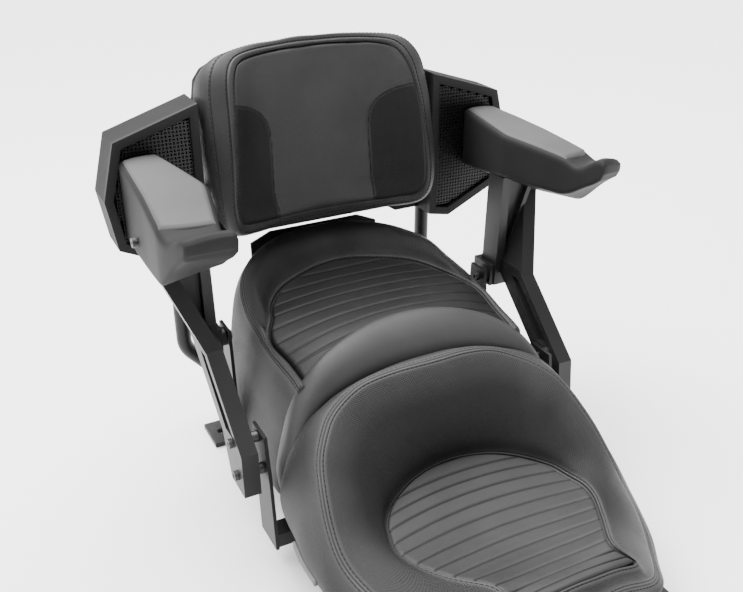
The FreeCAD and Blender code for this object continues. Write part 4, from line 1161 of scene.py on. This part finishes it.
def make_armrests(hard):
    """A moulded body with a curled lip and a soft top, on each side."""
    rows = dense_rows(ARM_SLICES, 3.0, 2.6)
    tip = rows[-1]
    closing = [
        tip + (tip.mean(axis=0) - tip) * k - np.array([0, d, 0])
        for k, d in ((0.12, 1.5), (0.4, 2.6))
    ]
    rows = np.concatenate([rows, np.array(closing)])
    grid = np.array([rounded_section(row, (11, 11, 7, 7), 2.0) for row in rows])
    pad_rows = dense_rows([[row[0], row[1]] for row in ARM_SLICES[:5]], 2.5, 3.0)
    s = np.linspace(0, 1, 41)
    inset = 4.0
    inner, outer = pad_rows[:, 0], pad_rows[:, 1]
    way = (outer - inner) / np.linalg.norm(outer - inner, axis=-1, keepdims=True)
    inner = inner + way * inset
    outer = outer - way * inset
    top = inner[:, None] + (outer - inner)[:, None] * s[None, :, None]
    share = 4 * s * (1 - s)
    rows_from_end = np.minimum(np.arange(len(top)), np.arange(len(top))[::-1]) * 2.5
    across = np.minimum(s, 1 - s)[None, :] * np.linalg.norm(outer - inner, axis=-1)[:, None]
    rim = np.minimum(rows_from_end[:, None] + 0 * across, across)
    ahead = np.clip((np.arange(len(top)) - len(top) * 0.7) / (len(top) * 0.3), 0, 1)
    front = 9.0 * share[None, :] * ahead[:, None]
    top = top + UP * (2.2 * share[None, :, None] + 1.9 - 4.6 * np.exp(-(rim / 3.4) ** 2)[..., None])
    top[..., 1] -= front
    for side, sign in (("right", 1), ("left", -1)):
        turn = np.array([sign, 1.0, 1.0])
        body = closed_tube(f"armrest_body_{side}", (grid * turn)[::sign], False)
        body.data.materials.append(hard["arm"])
        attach(body, "root")
        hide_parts(f"armrest_shell_{side}", f"armrest_cover_{side}")
        pad = slab(f"armrest_top_{side}", (top * turn)[::sign], (0, 0, 6))
        pad.data.materials.append(hard["arm_pad"])
        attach(pad, "root")
        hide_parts(f"armrest_pad_{side}")


# ---- grilles -------------------------------------------------------------
# The plate's two faces in y, the pitch of its holes, and its outline in x, z.
GRILLE_FRONT = 297.6
GRILLE_BACK = 299.6
CELL = 5.6
GRILLE_OUTLINE = [(210, 357), (234, 352), (322, 392), (332.5, 462), (313, 538), (210, 571)]


def inside_outline(x, z, outline, margin):
    """How far a point lies inside a convex outline is at least the margin."""
    centre = np.mean(outline, axis=0)
    for a, b in zip(outline, np.roll(outline, -1, axis=0)):
        edge = b - a
        normal = np.array([-edge[1], edge[0]]) / np.linalg.norm(edge)
        if normal @ (centre - a) < 0:
            normal = -normal
        if normal @ (np.array([x, z]) - a) < margin:
            return False
    return True


def frame_cell(points, faces, outer, hole):
    """A closed square frame around a hole."""
    first = len(points)
    for y in (GRILLE_FRONT, GRILLE_BACK):
        points += [(x, y, z) for x, z in outer]
        points += [(x, y, z) for x, z in hole]
    for k in range(4):
        n = (k + 1) % 4
        faces.append((first + k, first + n, first + 4 + n, first + 4 + k))
        faces.append((first + 8 + n, first + 8 + k, first + 12 + k, first + 12 + n))
        faces.append((first + n, first + k, first + 8 + k, first + 8 + n))
        faces.append((first + 4 + k, first + 4 + n, first + 12 + n, first + 12 + k))


def make_grilles(hard, outline):
    """A plate of staggered slots, pierced through, in each pod."""
    low = outline.min(axis=0)
    high = outline.max(axis=0)
    points = []
    faces = []
    for i in range(int((high[0] - low[0]) / CELL) + 1):
        for j in range(int((high[1] - low[1]) / CELL) + 1):
            x = low[0] + (i + 0.5) * CELL
            z = low[1] + (j + 0.5) * CELL
            if not inside_outline(x, z, outline, CELL * 0.45):
                continue
            half = CELL / 2
            outer = [(x - half, z - half), (x + half, z - half), (x + half, z + half), (x - half, z + half)]
            wide, tall = (2.2, 1.15) if (i + j) % 2 else (1.15, 2.2)
            hole = [(x - wide, z - tall), (x + wide, z - tall), (x + wide, z + tall), (x - wide, z + tall)]
            frame_cell(points, faces, outer, hole)
    points = np.array(points)
    for side, sign in (("right", 1), ("left", -1)):
        mesh_faces = faces if sign > 0 else [f[::-1] for f in faces]
        sided = points * np.array([sign, 1, 1]) * MM
        plate = new_object(f"grille_mesh_{side}", sided, mesh_faces, smooth=False)
        plate.data.materials.append(hard["grille"])
        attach(plate, "root")
        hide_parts(f"pod_grille_{side}")


# ---- tag on the rider's skirt ---------------------------------------------
def make_skirt_tag(hard):
    """A small moulded tag with plain raised bars, bedded on the skirt."""
    along = np.linspace(-176, -104, 97)
    across = np.linspace(0, 1, 21)
    low = np.interp(along, (-176, -104), (90.5, 96.5))
    face = np.interp(along, (-176, -134, -104), (237.4, 239.0, 236.0)) + 1.5
    rim = np.minimum(along + 176, -104 - along)[:, None]
    rim = np.minimum(rim, 9.5 * np.minimum(across, 1 - across)[None, :])
    bars = np.sin((along + 176) * 2 * np.pi / 6.0)[:, None] > -0.2
    bars = bars & (np.abs(across - 0.5) < 0.22)[None, :]
    bars = bars & (rim > 1.5)
    x = -(face[:, None] - 1.4 * np.exp(-(rim / 0.8) ** 2) + 0.5 * bars)
    y = along[:, None] + 0 * x
    z = low[:, None] + 9.5 * across[None, :] + 0 * x
    tag = slab("skirt_tag_plate", np.stack([x, y, z], axis=-1), (-4.0, 0, 0))
    tag.data.materials.append(hard["tag"])
    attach(tag, "seat")
    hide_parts("skirt_tag")


# ---- carried-over solids -------------------------------------------------
# Finish, the starts of the nodes' names, and edge rounding in millimetres.
LOOKS = (
    ("frame", ("rail_", "backrest_hoop", "hoop_crossbar", "cross_tube", "mount_foot", "strut_bracket",
               "arm_bracket", "hinge_bracket", "hoop_clamps"), 0.8),
    ("strut", ("strut_left", "strut_right"), 2.2),
    ("zinc", ("strut_spacers", "strut_bolts", "clamp_screws", "leaf_screws", "hinge_pin", "hinge_leaf",
              "lock_barrel", "lock_tongue", "striker_loop"), 0.4),
    ("lock", ("lock_housing",), 0.8),
    ("black", ("backrest_shell", "pod_housing", "seat_pan", "lower_valance", "speaker_"), 1.2),
    ("trim", ("pod_trim",), 2.4),
    ("rubber", ("pan_bumpers",), 0.8),
)


def dress_solids(hard):
    """Gives each carried-over solid its finish and small rounded edges."""
    for look, names, round_mm in LOOKS:
        for name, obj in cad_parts.items():
            if not name.startswith(names) or obj.hide_render:
                continue
            obj.data.materials.clear()
            obj.data.materials.append(hard[look])
            bevel = obj.modifiers.new("edges", "BEVEL")
            bevel.width = round_mm * MM
            bevel.segments = 3
            bevel.limit_method = "ANGLE"
            bevel.angle_limit = math.radians(32)
            bevel.use_clamp_overlap = True


# ---- run -----------------------------------------------------------------
leathers = {
    "rider": leather("leather_rider_cover", 0.036, 0.44, perforated=0.9, dimmed=0.8),
    "rider_insert": leather("leather_rider_insert", 0.022, 0.50, grain=0.35, mottle=0.2, nap=0.15),
    "band": leather("leather_band", 0.030, 0.42, grain=0.3),
    "passenger": leather("leather_passenger_cover", 0.026, 0.46, perforated=0.9, dimmed=0.5),
    "passenger_insert": leather("leather_passenger_insert", 0.007, 0.50, grain=0.35, mottle=0.2, nap=0.15),
    "back": leather("leather_back_cover", 0.024, 0.44, grain=0.3),
    "back_panel": leather(
        "leather_back_panel", 0.028, 0.52, perforated=0.85, dimmed=0.85, grain=0.4, mottle=0.2, nap=0.2,
    ),
    "thread": leather("thread_black", 0.006, 0.6, grain=0.2),
}
hard = {
    "frame": moulded("frame_powder_coat", 0.006, 0.45, 0.5, 900),
    "strut": moulded("strut_satin_paint", 0.012, 0.42, 0.35, 1100, 0.4),
    "zinc": metal("zinc_plate", 0.09, 0.5),
    "lock": moulded("lock_cast", 0.010, 0.4, 0.5, 900),
    "black": moulded("black_moulding", 0.005, 0.6, 0.5, 900, 0.3, 0.10),
    "trim": moulded("trim_moulding", 0.012, 0.55, 0.3, 1200, 0.5, 0.10),
    "rubber": moulded("rubber_black", 0.008, 0.7, 0.6, 500),
    "tag": moulded("tag_moulding", 0.10, 0.45, 0.3, 900, 0.6),
    "arm": moulded("armrest_moulding", 0.016, 0.60, 0.25, 1300, 0.3, 0.06),
    "arm_pad": moulded("armrest_soft_skin", 0.066, 0.55, 0.4, 900, 0.2, 0.12),
    "grille": moulded("grille_black", 0.004, 0.4, 0.2, 900),
}
make_stage()
make_armrests(hard)
make_grilles(hard, np.array(GRILLE_OUTLINE, float))
make_skirt_tag(hard)
dress_solids(hard)
make_rider_cushion(leathers)
make_centre_band(leathers)
make_passenger_cushion(leathers)
make_backrest(leathers)
